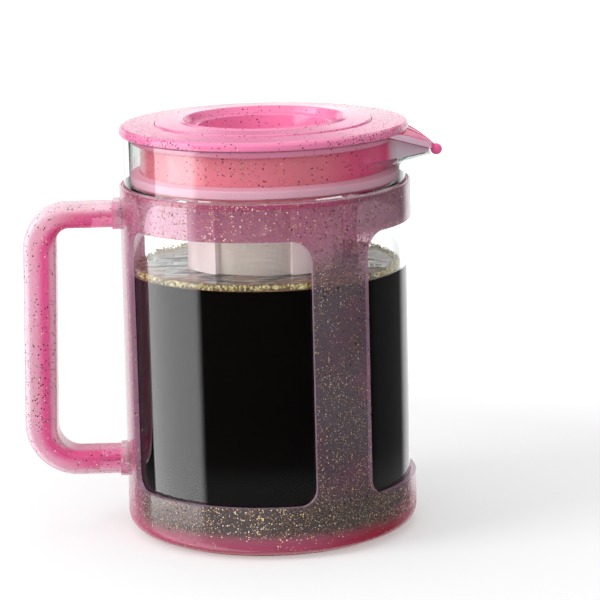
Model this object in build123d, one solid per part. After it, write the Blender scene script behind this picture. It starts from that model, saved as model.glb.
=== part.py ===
"""Cold brew coffee maker: a glass jug in a moulded sleeve with a handle, closed by a lid with a
pouring beak. A mesh filter for the ground coffee hangs from the lid, under a lift-out cap.

Millimetres. The origin is the centre of the foot plane. +Z is up, the beak points to +X and the
handle to -X. Heights are above the foot plane, and angles turn about Z from +X."""

from build123d import *
import os
from math import acos, cos, radians, sin

# --- Clearances -------------------------------------------------------------------------------
FIT = 0.05            # between pieces that are pressed, glued or screwed together
LOOSE = 0.3           # between pieces that lift or turn apart
CUT = 1.0             # how far a cutting body runs past the face that it opens

# --- Feet and pads ----------------------------------------------------------------------------
FOOT_PAD_MARGIN = 1.2 # from the pad's edge to where the sleeve's foot starts to round
FOOT_PAD_T = 3.0
FOOT_PAD_STAND = 1.2  # how much of the foot pad stands below the sleeve
SEAT_PAD_MARGIN = 1.5 # from the pad's edge to where the glass starts to round
SEAT_PAD_T = 2.0
PAD_EDGE = 0.5

# --- Glass jug --------------------------------------------------------------------------------
GLASS_R = 58.4
GLASS_WALL = 2.5
GLASS_FLOOR = 3.5
GLASS_H = 159.7
GLASS_CORNER = 8.0

# --- Pouring lip of the glass -----------------------------------------------------------------
LIP_REACH = 11.1      # how far the tip of the lip stands outside the wall
LIP_DROP = 11.3       # from the rim down to the underside of the tip
LIP_DEPTH = 6.4       # height over which the underside sweeps out of the wall
LIP_NOSE = 3.5        # radius of the tip, seen from above
LIP_FLOOR = 1.3       # thickness under the lip's channel
LIP_TIP_WALL = 1.6
LIP_SINK = 1.5        # how far inside the wall the flanks of the lip are tangent
LIP_SLOPE_RUN = 19.5  # length over which the rim falls towards the tip
LIP_TIP_HEIGHT = 2.0  # glass left at the tip, from its underside to its sloping edge
LIP_SECTIONS = 7

# --- Sleeve -----------------------------------------------------------------------------------
SLEEVE_WALL = 1.8
SLEEVE_DRAFT = 0.4    # the foot's radius is larger than the rim's by this much
SLEEVE_FLOOR = 2.5
SLEEVE_CORNER = 6.5
SLEEVE_INNER_CORNER = 4.8
SLEEVE_EDGE = 0.7
SLEEVE_RIM_DROP = 20.7  # from the rim of the glass down to the sleeve's rim
BAND_H = 15.4
CUP_H = 22.0
POST_COUNT = 3
HANDLE_POST_ARC = 44.4
POST_ARC = 24.6
WINDOW_TOP_R = 9.0
WINDOW_BOTTOM_R = 7.0
BAND_GASKET_T = 1.0
BAND_GASKET_H = 2.1
BAND_GASKET_SINK = 0.3

# --- Handle -----------------------------------------------------------------------------------
HANDLE_REACH = 40.0   # from the sleeve's band to the outside of the grip at its top
HANDLE_LEAN = 3.1     # how much further out the grip stands at its lower end
HANDLE_DEPTH = 18.0
GRIP_T = 13.6
HANDLE_ROUND = 4.0
HANDLE_STAND = 2.9    # from the sleeve's band to the ends of the arms
TOP_ARM_DROP = 12.5   # from the sleeve's rim down to the middle of the arm
TOP_ARM_H = 10.0
BOTTOM_ARM_Z = 29.1
BOTTOM_ARM_H = 10.4
OUTER_TOP_R = 18.0
OUTER_BOTTOM_R = 22.0
INNER_TOP_R = 5.5
INNER_BOTTOM_R = 9.5
HANDLE_SKIN = 2.4
HANDLE_INSERT_T = 4.0
END_BLOCK = 9.0       # solid end of each arm, which takes the screw
BOSS_MARGIN = 0.8     # how far the sleeve's boss stands round the arm

# --- Handle screws ----------------------------------------------------------------------------
SCREW_R = 1.5
SCREW_HEAD_R = 2.9
SCREW_HEAD_H = 1.5
SCREW_L = 13.0
SCREW_SINK = 0.4      # how far the head lies below the sleeve's inner face
SOCKET_R = 1.1
SOCKET_DEPTH = 0.9

# --- Lid --------------------------------------------------------------------------------------
LID_OVERHANG = 1.5    # the flange stands this far outside the glass
LID_FLANGE_T = 3.4
LID_DOME = 0.4
LID_RIM_ROUND = 1.9
LID_UNDER_ROUND = 0.7
SKIRT_GAP = 4.6       # from the skirt to the inside of the glass
SKIRT_WALL = 1.6
SKIRT_H = 21.5
SKIRT_TONGUE = 0.8
SKIRT_LEDGE = 2.2
SKIRT_LEDGE_H = 1.3
LID_RIB_MARGIN = 1.1
GASKET_H = 4.6
GASKET_FACE_H = 3.6
GASKET_ROUND = 0.7
SLOT_ARC = 44.0
SLOT_SILL = 6.6       # from the skirt's lower end to the pour slot
SLOT_H = 13.4

# --- Pouring beak -----------------------------------------------------------------------------
BEAK_PAST_LIP = 1.5   # how far the beak's nose stands outside the lip's tip
BEAK_NOSE = 2.0
BEAK_SINK = 0.9       # how far inside the flange the beak's flanks are tangent
BEAK_WALL = 1.7
ROOF_RUN = 20.0       # from the start of the roof to its end at the nose
ROOF_START_RISE = 2.4 # from the flange's underside up to the roof's start
ROOF_MID = (10.5, 1.7)        # a point on the roof: run from its start, drop from the flange
ROOF_END_DROP = 8.0
TROUGH_BEHIND_TIP = 3.5  # from the tip of the lip back to the trough's end
TROUGH_RUN = 12.4
TROUGH_DEPTH = 6.9
TROUGH_FLOOR_DROP = 9.8  # from the rim down to the underside of the trough's end
TROUGH_NOSE = 2.2
TROUGH_START_ABOVE_GASKET = 0.6
MOUTH_INSET = 3.5     # from the trough's end back to the opening in its floor
MOUTH_L = 5.0
MOUTH_W = 4.4
BEAD_R = 2.2
BEAD_OUT = 1.5        # how far the bead's centre stands outside the beak's nose
BEAD_DROP = 9.6

# --- Collar for the filter, and the bayonets ---------------------------------------------------
COLLAR_WALL = 3.6
COLLAR_H = 21.6
LUG_COUNT = 4
LUG_REACH = 1.8
LUG_H = 3.0
LUG_ARC = 16.0
LUG_Z_IN_RING = 8.0   # from the top ring's lower end to the lugs
NOTCH_PLAY = 1.5      # degrees each side of a lug
TWIST = 30.0          # how far the filter and its base turn from locked to free

# --- Filter -----------------------------------------------------------------------------------
FILTER_R = 34.0
FILTER_TURN = 35.2    # direction of the first leg
LEG_COUNT = 4
LEG_ARC = 34.5
LEG_T = 5.4
LEG_SKIN = 1.6
LEG_SIDE_ARC = 3.0
TOP_RING_WALL = 2.6
TOP_RING_H = 19.0
FILTER_FOOT_RISE = 19.3  # from the glass floor up to the end of the filter's wall
FOOT_RING_H = 3.7
SPIGOT_STEP = 2.0     # the spigot is this much smaller than the filter
SPIGOT_H = 10.1
HOOP_RISE = 54.0      # from the foot ring up to the hoop
HOOP_H = 3.0
HOOP_T = 1.5
MESH_T = 0.4
MESH_INSET = 2.4      # from the filter's outside to the mesh
FILTER_GASKET_T = 1.5
FILTER_GASKET_W = 2.2

# --- Filter base ------------------------------------------------------------------------------
BASE_WALL = 2.3
BASE_FLOOR = 2.5
BASE_GASKET_T = 1.5
BASE_LUG_REACH = 1.1
BASE_LUG_H = 2.0
BASE_LUG_Z = 4.0      # from the spigot's lower end to the lugs
BASE_EDGE = 1.0

# --- Cap over the filter ----------------------------------------------------------------------
CAP_OVER_COLLAR = 6.9 # how far the cap's ring reaches past the collar
CAP_EDGE_H = 2.0      # height of the ring at its outer edge
CAP_SEAT_DEPTH = 1.4  # how deep the cap's seat lies in the lid
HOLE_LIP_T = 1.6      # thickness of the lid round the cap's neck
CAP_EDGE_ROUND = 0.8
CREST_IN = 11.5       # from the ring's outer edge to its crest, the mouth of the well
CREST_H = 3.2         # height of the crest above the seat
CREST_FOOT_IN = 9.6   # from the ring's outer edge to the foot of the crest
CREST_FOOT_H = 2.4
CREST_ROUND = 0.7
WELL_SLOPE = 1.7      # how far the well's upper wall leans inwards
LEDGE_DROP = 2.8      # from the crest to the ledge in the well
LEDGE_IN = 17.8       # from the ring's outer edge to the pit below the ledge
LEDGE_ROUND = 0.6
PIT_SLOPE = 1.6
PIT_DEPTH = 10.2
PIT_CORNER = 3.0
CAP_FLOOR = 2.0
PLUG_GAP = 1.4        # between the plug and the filter's top ring
NECK_GAP = 2.1        # the neck is this much smaller than the filter
CAP_GASKET_T = 2.2
CAP_GASKET_H = 2.5
CAP_GASKET_Z = 5.0    # from the plug's lower end to its gasket

# --- Worked out from the sizes above -----------------------------------------------------------
SLEEVE_BOTTOM_Z = FOOT_PAD_STAND
SLEEVE_FLOOR_Z = FOOT_PAD_T + SLEEVE_FLOOR
GLASS_Z = SLEEVE_FLOOR_Z + SEAT_PAD_T
GLASS_FLOOR_Z = GLASS_Z + GLASS_FLOOR
RIM_Z = GLASS_Z + GLASS_H
GLASS_IN_R = GLASS_R - GLASS_WALL
SEAT_PAD_R = GLASS_R - GLASS_CORNER - SEAT_PAD_MARGIN
LIP_X = GLASS_R + LIP_REACH
LIP_SLOPE_X = LIP_X - LIP_SLOPE_RUN
LIP_KEEL_Z = RIM_Z - LIP_DROP
LIP_START_Z = LIP_KEEL_Z - LIP_DEPTH
SLEEVE_IN_R = GLASS_R + LOOSE
SLEEVE_R = SLEEVE_IN_R + SLEEVE_WALL
SLEEVE_FOOT_R = SLEEVE_R + SLEEVE_DRAFT
SLEEVE_RIM_Z = RIM_Z - SLEEVE_RIM_DROP
FOOT_PAD_R = SLEEVE_FOOT_R - SLEEVE_CORNER - FOOT_PAD_MARGIN
WINDOW_TOP_Z = SLEEVE_RIM_Z - BAND_H
HANDLE_X = SLEEVE_R + HANDLE_REACH
ROOT_X = SLEEVE_R + HANDLE_STAND
GRIP_X = HANDLE_X - GRIP_T
TOP_ARM_Z = SLEEVE_RIM_Z - TOP_ARM_DROP
LID_Z = RIM_Z + LOOSE
LID_TOP_Z = LID_Z + LID_FLANGE_T
LID_R = GLASS_R + LID_OVERHANG
SKIRT_R = GLASS_IN_R - SKIRT_GAP
SKIRT_IN_R = SKIRT_R - SKIRT_WALL
SKIRT_LEDGE_R = SKIRT_R + SKIRT_LEDGE
SKIRT_BOTTOM_Z = LID_Z - SKIRT_H
GASKET_Z = SKIRT_BOTTOM_Z + SKIRT_LEDGE_H
GASKET_R = GLASS_IN_R - LOOSE
BEAK_X = LIP_X + BEAK_PAST_LIP
BEAK_R = LID_R - BEAK_SINK
ROOF_END_X = BEAK_X + CUT
TROUGH_X = LIP_X - TROUGH_BEHIND_TIP
TROUGH_KEEL_Z = RIM_Z - TROUGH_FLOOR_DROP
COLLAR_IN_R = FILTER_R + LOOSE
COLLAR_R = COLLAR_IN_R + COLLAR_WALL
COLLAR_BOTTOM_Z = LID_Z - COLLAR_H
CAP_R = COLLAR_R + CAP_OVER_COLLAR
CAP_SEAT_Z = LID_TOP_Z + LID_DOME - CAP_SEAT_DEPTH
NECK_R = FILTER_R - NECK_GAP
CAP_HOLE_R = NECK_R + LOOSE
CAP_HOLE_Z = CAP_SEAT_Z - HOLE_LIP_T
LEDGE_Z = CAP_SEAT_Z + CREST_H - LEDGE_DROP
PIT_Z = LEDGE_Z - PIT_DEPTH
PLUG_Z = PIT_Z - CAP_FLOOR
FILTER_GASKET_Z = CAP_HOLE_Z - FIT - FILTER_GASKET_T
FILTER_TOP_Z = FILTER_GASKET_Z - FIT
TOP_RING_Z = FILTER_TOP_Z - TOP_RING_H
TOP_RING_IN_R = FILTER_R - TOP_RING_WALL
PLUG_R = TOP_RING_IN_R - PLUG_GAP
LEG_IN_R = FILTER_R - LEG_T
LUG_Z = TOP_RING_Z + LUG_Z_IN_RING
MESH_R = FILTER_R - MESH_INSET
SPIGOT_R = FILTER_R - SPIGOT_STEP
FILTER_FOOT_Z = GLASS_FLOOR_Z + FILTER_FOOT_RISE
WINDOW_BASE_Z = FILTER_FOOT_Z + FOOT_RING_H
HOOP_Z = WINDOW_BASE_Z + HOOP_RISE
SPIGOT_Z = FILTER_FOOT_Z - SPIGOT_H
BASE_IN_R = SPIGOT_R + LOOSE
BASE_R = BASE_IN_R + BASE_WALL
BASE_FLOOR_Z = SPIGOT_Z - BASE_GASKET_T - FIT
BASE_Z = BASE_FLOOR_Z - BASE_FLOOR
BASE_TOP_Z = FILTER_FOOT_Z - LOOSE


def turned(corners, rounds=None):
    """A solid of revolution from (radius, height) corners; rounds maps a corner's index to its
    fillet radius."""
    radii = [0] * len(corners)
    for index, radius in (rounds or {}).items():
        radii[index] = radius
    outline = FilletPolyline(*corners, radius=radii, close=True)
    return revolve(Plane.XZ * make_face(outline), Axis.Z)


def disc(radius, low, high):
    """A plain round plate between two heights."""
    return Pos(0, 0, low) * extrude(Circle(radius), high - low)


def ring(outer, inner, low, high):
    """A plain tube between two heights."""
    return disc(outer, low, high) - disc(inner, low - CUT, high + CUT)


def sector(outer, inner, low, high, centre, arc):
    """A piece of a tube, arc degrees wide, about the direction centre."""
    face = make_face(Polyline((inner, low), (outer, low), (outer, high), (inner, high), close=True))
    return Rot(0, 0, centre - arc / 2) * revolve(Plane.XZ * face, Axis.Z, arc)


def spread(count, first=0.0):
    """Directions of count copies spaced evenly round the axis."""
    return [first + step * 360 / count for step in range(count)]


def lip_slice(tangent_r, apex, nose, height):
    """A level slice through a pouring lip: two straight flanks, tangent to a circle about the
    axis, meet in a round nose that reaches to apex."""
    centre = apex - nose
    turn = acos((tangent_r - nose) / centre)
    wide = (tangent_r * cos(turn), tangent_r * sin(turn))
    narrow = (centre + nose * cos(turn), nose * sin(turn))
    back = tangent_r / 3
    sides = [
        Line((back, wide[1]), wide),
        Line(wide, narrow),
        ThreePointArc(narrow, (apex, 0), (narrow[0], -narrow[1])),
        Line((narrow[0], -narrow[1]), (wide[0], -wide[1])),
        Line((wide[0], -wide[1]), (back, -wide[1])),
        Line((back, -wide[1]), (back, wide[1])),
    ]
    return Pos(0, 0, height) * make_face(Wire(sides))


def lip_body(tangent_r, start_z, apex, run, depth, nose, top):
    """A pouring lip as a solid: its keel sweeps out of the wall as a quarter of an ellipse, run
    long and depth high, and it goes straight up from there to top."""
    slices = []
    for step in range(1, LIP_SECTIONS + 1):
        turn = radians(90 * step / LIP_SECTIONS)
        reach = apex - run * cos(turn)
        slices.append(lip_slice(tangent_r, reach, nose, start_z + depth * sin(turn)))
    keel = loft(slices, ruled=True)
    upright = extrude(lip_slice(tangent_r, apex, nose, start_z + depth), top - start_z - depth)
    return keel + upright


def below_slope(lift):
    """Everything under the rim and the sloping edge of the lip, raised by lift."""
    reach = BEAK_X + BEAD_OUT + BEAD_R + CUT
    fall = (RIM_Z - LIP_KEEL_Z - LIP_TIP_HEIGHT) / LIP_SLOPE_RUN
    end_z = RIM_Z - fall * (reach - LIP_SLOPE_X) + lift
    outline = Polyline(
        (-reach, 0), (reach, 0), (reach, end_z), (LIP_SLOPE_X, RIM_Z + lift), (-reach, RIM_Z + lift),
        close=True,
    )
    return extrude(Plane.XZ * make_face(outline), reach, both=True)


def glass_carafe():
    """The jug: a straight glass with a heavy floor and a V-shaped lip."""
    outside = turned(
        [(0, GLASS_Z), (GLASS_R, GLASS_Z), (GLASS_R, RIM_Z), (0, RIM_Z)], {1: GLASS_CORNER}
    )
    inside = turned(
        [(0, GLASS_FLOOR_Z), (GLASS_IN_R, GLASS_FLOOR_Z), (GLASS_IN_R, RIM_Z + CUT), (0, RIM_Z + CUT)],
        {1: GLASS_CORNER - GLASS_WALL},
    )
    lip = lip_body(
        GLASS_R - LIP_SINK, LIP_START_Z, LIP_X, LIP_X - GLASS_R, LIP_DEPTH, LIP_NOSE, RIM_Z
    )
    channel_x = LIP_X - LIP_TIP_WALL
    channel = lip_body(
        GLASS_IN_R - LIP_SINK,
        LIP_START_Z + LIP_FLOOR,
        channel_x,
        channel_x - GLASS_IN_R,
        LIP_DEPTH,
        LIP_NOSE - LIP_TIP_WALL,
        RIM_Z + CUT,
    )
    body = (outside + lip) - inside - channel
    return body & below_slope(0)


def across(part, low, high):
    """Edges of a cutter that run straight outwards, with their middle between two heights."""
    edges = part.edges().filter_by(GeomType.LINE)
    return [
        edge for edge in edges
        if abs(edge.start_point().Z - edge.end_point().Z) < FIT and low < edge.center().Z < high
    ]


def window(centre, arc):
    """A cutter for one window between two posts, with its corners rounded."""
    outer = SLEEVE_FOOT_R + CUT
    middle = (CUP_H + WINDOW_TOP_Z) / 2
    opening = sector(outer, SLEEVE_IN_R - CUT, CUP_H, WINDOW_TOP_Z, centre, arc)
    opening = fillet(across(opening, 0, middle), WINDOW_BOTTOM_R)
    return fillet(across(opening, middle, SLEEVE_RIM_Z), WINDOW_TOP_R)


def windows():
    """The three windows: one on each side of the handle's post, and one opposite it."""
    spacing = 360 / POST_COUNT
    beside = spacing - (HANDLE_POST_ARC + POST_ARC) / 2
    opposite = spacing - POST_ARC
    middle = 180 - HANDLE_POST_ARC / 2 - beside / 2
    return [window(0, opposite), window(middle, beside), window(-middle, beside)]


def arms():
    """Height of the middle and thickness of the two arms, as pairs."""
    return [(TOP_ARM_Z, TOP_ARM_H), (BOTTOM_ARM_Z, BOTTOM_ARM_H)]


def boss(middle_z, height):
    """A pad on the sleeve that one arm of the handle butts against."""
    pad = RectangleRounded(
        HANDLE_DEPTH + 2 * BOSS_MARGIN, height + 2 * BOSS_MARGIN, HANDLE_ROUND
    )
    return Pos(-ROOT_X, 0, middle_z) * Rot(0, 90, 0) * Rot(0, 0, 90) * extrude(
        pad, ROOT_X - SLEEVE_IN_R + CUT
    )


def screw_body(middle_z, play):
    """The outside of one countersunk screw, grown by play all round. It lies along X."""
    head_x = SLEEVE_IN_R + SCREW_SINK
    head = Cone(
        SCREW_HEAD_R + play, SCREW_R + play, SCREW_HEAD_H, align=(Align.CENTER, Align.CENTER, Align.MIN)
    )
    shank = Pos(0, 0, SCREW_HEAD_H) * extrude(Circle(SCREW_R + play), SCREW_L - SCREW_HEAD_H)
    return Pos(-head_x, 0, middle_z) * Rot(0, -90, 0) * (head + shank)


def screw_hole(middle_z):
    """The hole for one screw, open through the sleeve's inner face."""
    head_x = SLEEVE_IN_R + SCREW_SINK
    mouth = extrude(Circle(SCREW_HEAD_R + FIT), SCREW_SINK + CUT)
    return screw_body(middle_z, FIT) + Pos(-head_x, 0, middle_z) * Rot(0, 90, 0) * mouth


def sleeve():
    """The moulding round the glass: a cup, three posts, a band and the bosses for the handle."""
    shell = turned(
        [
            (0, SLEEVE_BOTTOM_Z),
            (SLEEVE_FOOT_R, SLEEVE_BOTTOM_Z),
            (SLEEVE_R, SLEEVE_RIM_Z),
            (0, SLEEVE_RIM_Z),
        ],
        {1: SLEEVE_CORNER, 2: SLEEVE_EDGE},
    )
    for middle_z, height in arms():
        shell += boss(middle_z, height)
    shell -= turned(
        [
            (0, SLEEVE_FLOOR_Z),
            (SLEEVE_IN_R, SLEEVE_FLOOR_Z),
            (SLEEVE_IN_R, SLEEVE_RIM_Z + CUT),
            (0, SLEEVE_RIM_Z + CUT),
        ],
        {1: SLEEVE_INNER_CORNER},
    )
    seat_r = GLASS_R + FIT + BAND_GASKET_T + FIT
    shell -= disc(seat_r, SLEEVE_RIM_Z - BAND_GASKET_SINK - BAND_GASKET_H, SLEEVE_RIM_Z + CUT)
    shell -= disc(FOOT_PAD_R + FIT, SLEEVE_BOTTOM_Z - CUT, FOOT_PAD_T)
    for opening in windows():
        shell -= opening
    for middle_z, _ in arms():
        shell -= screw_hole(middle_z)
    return shell


def band_gasket():
    """The soft ring that centres the glass in the sleeve's rim."""
    top = SLEEVE_RIM_Z - BAND_GASKET_SINK
    inner = GLASS_R + FIT
    outer = inner + BAND_GASKET_T
    low = top - BAND_GASKET_H
    rounding = BAND_GASKET_T / 3
    return turned([(inner, low), (outer, low), (outer, top), (inner, top)], {2: rounding, 3: rounding})


def pad(radius, low, high):
    """A soft round pad with eased edges."""
    return turned([(0, low), (radius, low), (radius, high), (0, high)], {1: PAD_EDGE, 2: PAD_EDGE})


def loop_face(skin, groove):
    """The handle's outline seen from its side, skin inside its outer edge and groove inside its
    inner one."""
    top = TOP_ARM_Z + TOP_ARM_H / 2 - skin
    bottom = BOTTOM_ARM_Z - BOTTOM_ARM_H / 2 + skin
    out = HANDLE_X - skin
    outside = FilletPolyline(
        (-ROOT_X, top), (-out, top), (-out - HANDLE_LEAN, bottom), (-ROOT_X, bottom),
        radius=[0, OUTER_TOP_R - skin, OUTER_BOTTOM_R - skin, 0], close=True,
    )
    in_top = TOP_ARM_Z - TOP_ARM_H / 2 + groove
    in_bottom = BOTTOM_ARM_Z + BOTTOM_ARM_H / 2 - groove
    out = GRIP_X + groove
    inside = FilletPolyline(
        (-ROOT_X + CUT, in_top), (-out, in_top), (-out - HANDLE_LEAN, in_bottom),
        (-ROOT_X + CUT, in_bottom),
        radius=[0, INNER_TOP_R + groove, INNER_BOTTOM_R + groove, 0], close=True,
    )
    return Plane.XZ * (make_face(outside) - make_face(inside))


def handle_bar():
    """The whole handle as one rounded bar."""
    bar = extrude(loop_face(0, 0), HANDLE_DEPTH / 2, both=True)
    rims = bar.faces().filter_by(Axis.Y)
    edges = [
        edge for face in rims for edge in face.edges() if edge.center().X < -ROOT_X - FIT
    ]
    return fillet(edges, HANDLE_ROUND)


def handle_middle(play):
    """The length of the handle between its two solid ends, shorter by play."""
    reach = HANDLE_X + HANDLE_LEAN
    width = reach - ROOT_X - END_BLOCK - play
    height = TOP_ARM_Z - BOTTOM_ARM_Z + TOP_ARM_H + BOTTOM_ARM_H
    middle_z = (TOP_ARM_Z + BOTTOM_ARM_Z) / 2
    return Pos(-reach + width / 2, 0, middle_z) * Box(width, HANDLE_DEPTH, height)


def handle_shell(bar):
    """The outer half of the handle: a channel that is open towards the hand's inside."""
    trench = extrude(loop_face(HANDLE_SKIN, -CUT), HANDLE_DEPTH / 2 - HANDLE_SKIN, both=True)
    shell = bar - (trench & handle_middle(0))
    for middle_z, _ in arms():
        shell -= screw_body(middle_z, FIT)
    return shell


def handle_grip(bar):
    """The strip that closes the handle's channel, flush with its inner side."""
    whole = extrude(loop_face(0, 0), HANDLE_DEPTH / 2 - HANDLE_SKIN - FIT, both=True)
    deeper = extrude(loop_face(0, HANDLE_INSERT_T), HANDLE_DEPTH, both=True)
    return bar & (whole - deeper) & handle_middle(FIT)


def handle_screws():
    """The two screws that hold the handle, driven from inside the sleeve."""
    head_x = SLEEVE_IN_R + SCREW_SINK
    socket = extrude(RegularPolygon(SOCKET_R, 6), SOCKET_DEPTH)
    screws = []
    for middle_z, _ in arms():
        recess = Pos(-head_x, 0, middle_z) * Rot(0, -90, 0) * socket
        screws.append(screw_body(middle_z, 0) - recess)
    return screws


def lug_ring(outer, inner, low, high, directions, arc):
    """Bayonet lugs, or the cuts for them, as a list of solids."""
    return [sector(outer, inner, low, high, direction, arc) for direction in directions]


def lid_top():
    """The lid's upper moulding: a domed flange, the seat for the cap and the filter's collar."""
    seat_r = CAP_R + LOOSE
    tongue_out = SKIRT_R + FIT
    tongue_in = SKIRT_IN_R - FIT
    tongue_z = LID_Z + SKIRT_TONGUE + FIT
    body = turned(
        [
            (COLLAR_IN_R, COLLAR_BOTTOM_Z),
            (COLLAR_R, COLLAR_BOTTOM_Z),
            (COLLAR_R, CAP_HOLE_Z),
            (tongue_in - LID_RIB_MARGIN, CAP_HOLE_Z),
            (tongue_in - LID_RIB_MARGIN, LID_Z),
            (tongue_in, LID_Z),
            (tongue_in, tongue_z),
            (tongue_out, tongue_z),
            (tongue_out, LID_Z),
            (LID_R, LID_Z),
            (LID_R, LID_TOP_Z),
            (seat_r, LID_TOP_Z + LID_DOME),
            (seat_r, CAP_SEAT_Z),
            (CAP_HOLE_R, CAP_SEAT_Z),
            (CAP_HOLE_R, CAP_HOLE_Z),
            (COLLAR_IN_R, CAP_HOLE_Z),
        ],
        {9: LID_UNDER_ROUND, 10: LID_RIM_ROUND},
    )
    groove_r = FILTER_R + LUG_REACH + LOOSE
    body -= ring(groove_r, FILTER_R, LUG_Z - LOOSE, LUG_Z + LUG_H + LOOSE)
    free = spread(LUG_COUNT, FILTER_TURN + TWIST)
    arc = LUG_ARC + 2 * NOTCH_PLAY
    for notch in lug_ring(groove_r, FILTER_R, COLLAR_BOTTOM_Z - CUT, LUG_Z + LUG_H, free, arc):
        body -= notch
    return body


def lid_skirt():
    """The tube under the flange that carries the gasket. A slot in it lets the coffee out."""
    tube = turned(
        [
            (SKIRT_IN_R, SKIRT_BOTTOM_Z),
            (SKIRT_LEDGE_R, SKIRT_BOTTOM_Z),
            (SKIRT_LEDGE_R, GASKET_Z),
            (SKIRT_R, GASKET_Z),
            (SKIRT_R, LID_Z + SKIRT_TONGUE),
            (SKIRT_IN_R, LID_Z + SKIRT_TONGUE),
        ]
    )
    sill = SKIRT_BOTTOM_Z + SLOT_SILL
    return tube - sector(SKIRT_R + CUT, SKIRT_IN_R - CUT, sill, sill + SLOT_H, 0, SLOT_ARC)


def lid_gasket():
    """The soft ring that seals the skirt in the glass."""
    inner = SKIRT_R + FIT
    low = GASKET_Z
    return turned(
        [
            (inner, low),
            (GASKET_R, low),
            (GASKET_R, low + GASKET_FACE_H),
            (inner + GASKET_ROUND, low + GASKET_H),
            (inner, low + GASKET_H),
        ],
        {1: GASKET_ROUND, 2: GASKET_ROUND},
    )


def under_roof(inset):
    """The region under the beak's roof and under the flange, inset below both."""
    floor = TROUGH_KEEL_Z - TROUGH_DEPTH - CUT
    start = (ROOF_END_X - ROOF_RUN, LID_Z + ROOF_START_RISE - inset)
    middle = (start[0] + ROOF_MID[0], LID_Z - ROOF_MID[1] - inset)
    end = (ROOF_END_X, LID_Z - ROOF_END_DROP - inset)
    sides = [
        Line((0, floor), (0, start[1])),
        Line((0, start[1]), start),
        ThreePointArc(start, middle, end),
        Line(end, (end[0], floor)),
        Line((end[0], floor), (0, floor)),
    ]
    region = extrude(Plane.XZ * make_face(Wire(sides)), LID_R, both=True)
    return region - disc(LID_R + FIT + inset, LID_Z - FIT - inset, LID_TOP_Z)


def trough(inset):
    """The beak's trough, which reaches down into the glass lip, inset from its outside."""
    start_z = TROUGH_KEEL_Z - TROUGH_DEPTH + inset
    body = lip_body(
        SKIRT_R - inset, start_z, TROUGH_X - inset, TROUGH_RUN, TROUGH_DEPTH,
        TROUGH_NOSE - inset, LID_Z,
    )
    return body - disc(LID_R, start_z - CUT, GASKET_Z + GASKET_H + TROUGH_START_ABOVE_GASKET + inset)


def hood(inset):
    """The beak's hood between its flanks, which go on from the flange, inset from its outside."""
    low = TROUGH_KEEL_Z - TROUGH_DEPTH
    outline = lip_slice(BEAK_R - inset, BEAK_X - inset, BEAK_NOSE - inset / 2, low)
    return extrude(outline, LID_TOP_Z - low) & under_roof(inset)


def pouring_beak():
    """The roofed beak that carries the coffee from the skirt's slot over the glass lip. Its hood
    is open underneath on both sides of the trough."""
    shell = hood(0) - below_slope(LOOSE + FIT) - hood(BEAK_WALL)
    channel = trough(0) & under_roof(0)
    mouth_x = TROUGH_X - MOUTH_INSET
    mouth = Pos(mouth_x + MOUTH_L / 2, 0, TROUGH_KEEL_Z) * Box(MOUTH_L, MOUTH_W, 2 * BEAK_WALL)
    bead = Pos(BEAK_X + BEAD_OUT, 0, RIM_Z - BEAD_DROP) * Sphere(BEAD_R)
    behind = disc(SKIRT_R + FIT, SKIRT_BOTTOM_Z, LID_TOP_Z)
    hollow = trough(BEAK_WALL) & under_roof(BEAK_WALL)
    return (shell + channel) - hollow - mouth - behind + bead


def filter_cap():
    """The cap that closes the filter: a crest round a well for the fingers, with a ledge in it."""
    crest_r = CAP_R - CREST_IN
    crest_z = CAP_SEAT_Z + CREST_H
    pit_r = CAP_R - LEDGE_IN
    body = turned(
        [
            (0, PLUG_Z),
            (PLUG_R, PLUG_Z),
            (PLUG_R, CAP_HOLE_Z),
            (NECK_R, CAP_HOLE_Z),
            (NECK_R, CAP_SEAT_Z),
            (CAP_R, CAP_SEAT_Z),
            (CAP_R, CAP_SEAT_Z + CAP_EDGE_H),
            (CAP_R - CREST_FOOT_IN, CAP_SEAT_Z + CREST_FOOT_H),
            (crest_r, crest_z),
            (crest_r - WELL_SLOPE, LEDGE_Z),
            (pit_r, LEDGE_Z),
            (pit_r - PIT_SLOPE, PIT_Z),
            (0, PIT_Z),
        ],
        {1: PAD_EDGE, 6: CAP_EDGE_ROUND, 8: CREST_ROUND, 10: LEDGE_ROUND, 11: PIT_CORNER},
    )
    low = PLUG_Z + CAP_GASKET_Z
    groove_r = TOP_RING_IN_R - LOOSE - CAP_GASKET_T - FIT
    return body - ring(PLUG_R + CUT, groove_r, low, low + CAP_GASKET_H)


def cap_gasket():
    """The soft ring in the plug's groove."""
    outer = TOP_RING_IN_R - LOOSE
    inner = outer - CAP_GASKET_T
    low = PLUG_Z + CAP_GASKET_Z + FIT
    high = low + CAP_GASKET_H - 2 * FIT
    return turned(
        [(inner, low), (outer, low), (outer, high), (inner, high)],
        {1: GASKET_ROUND, 2: GASKET_ROUND},
    )


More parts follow.
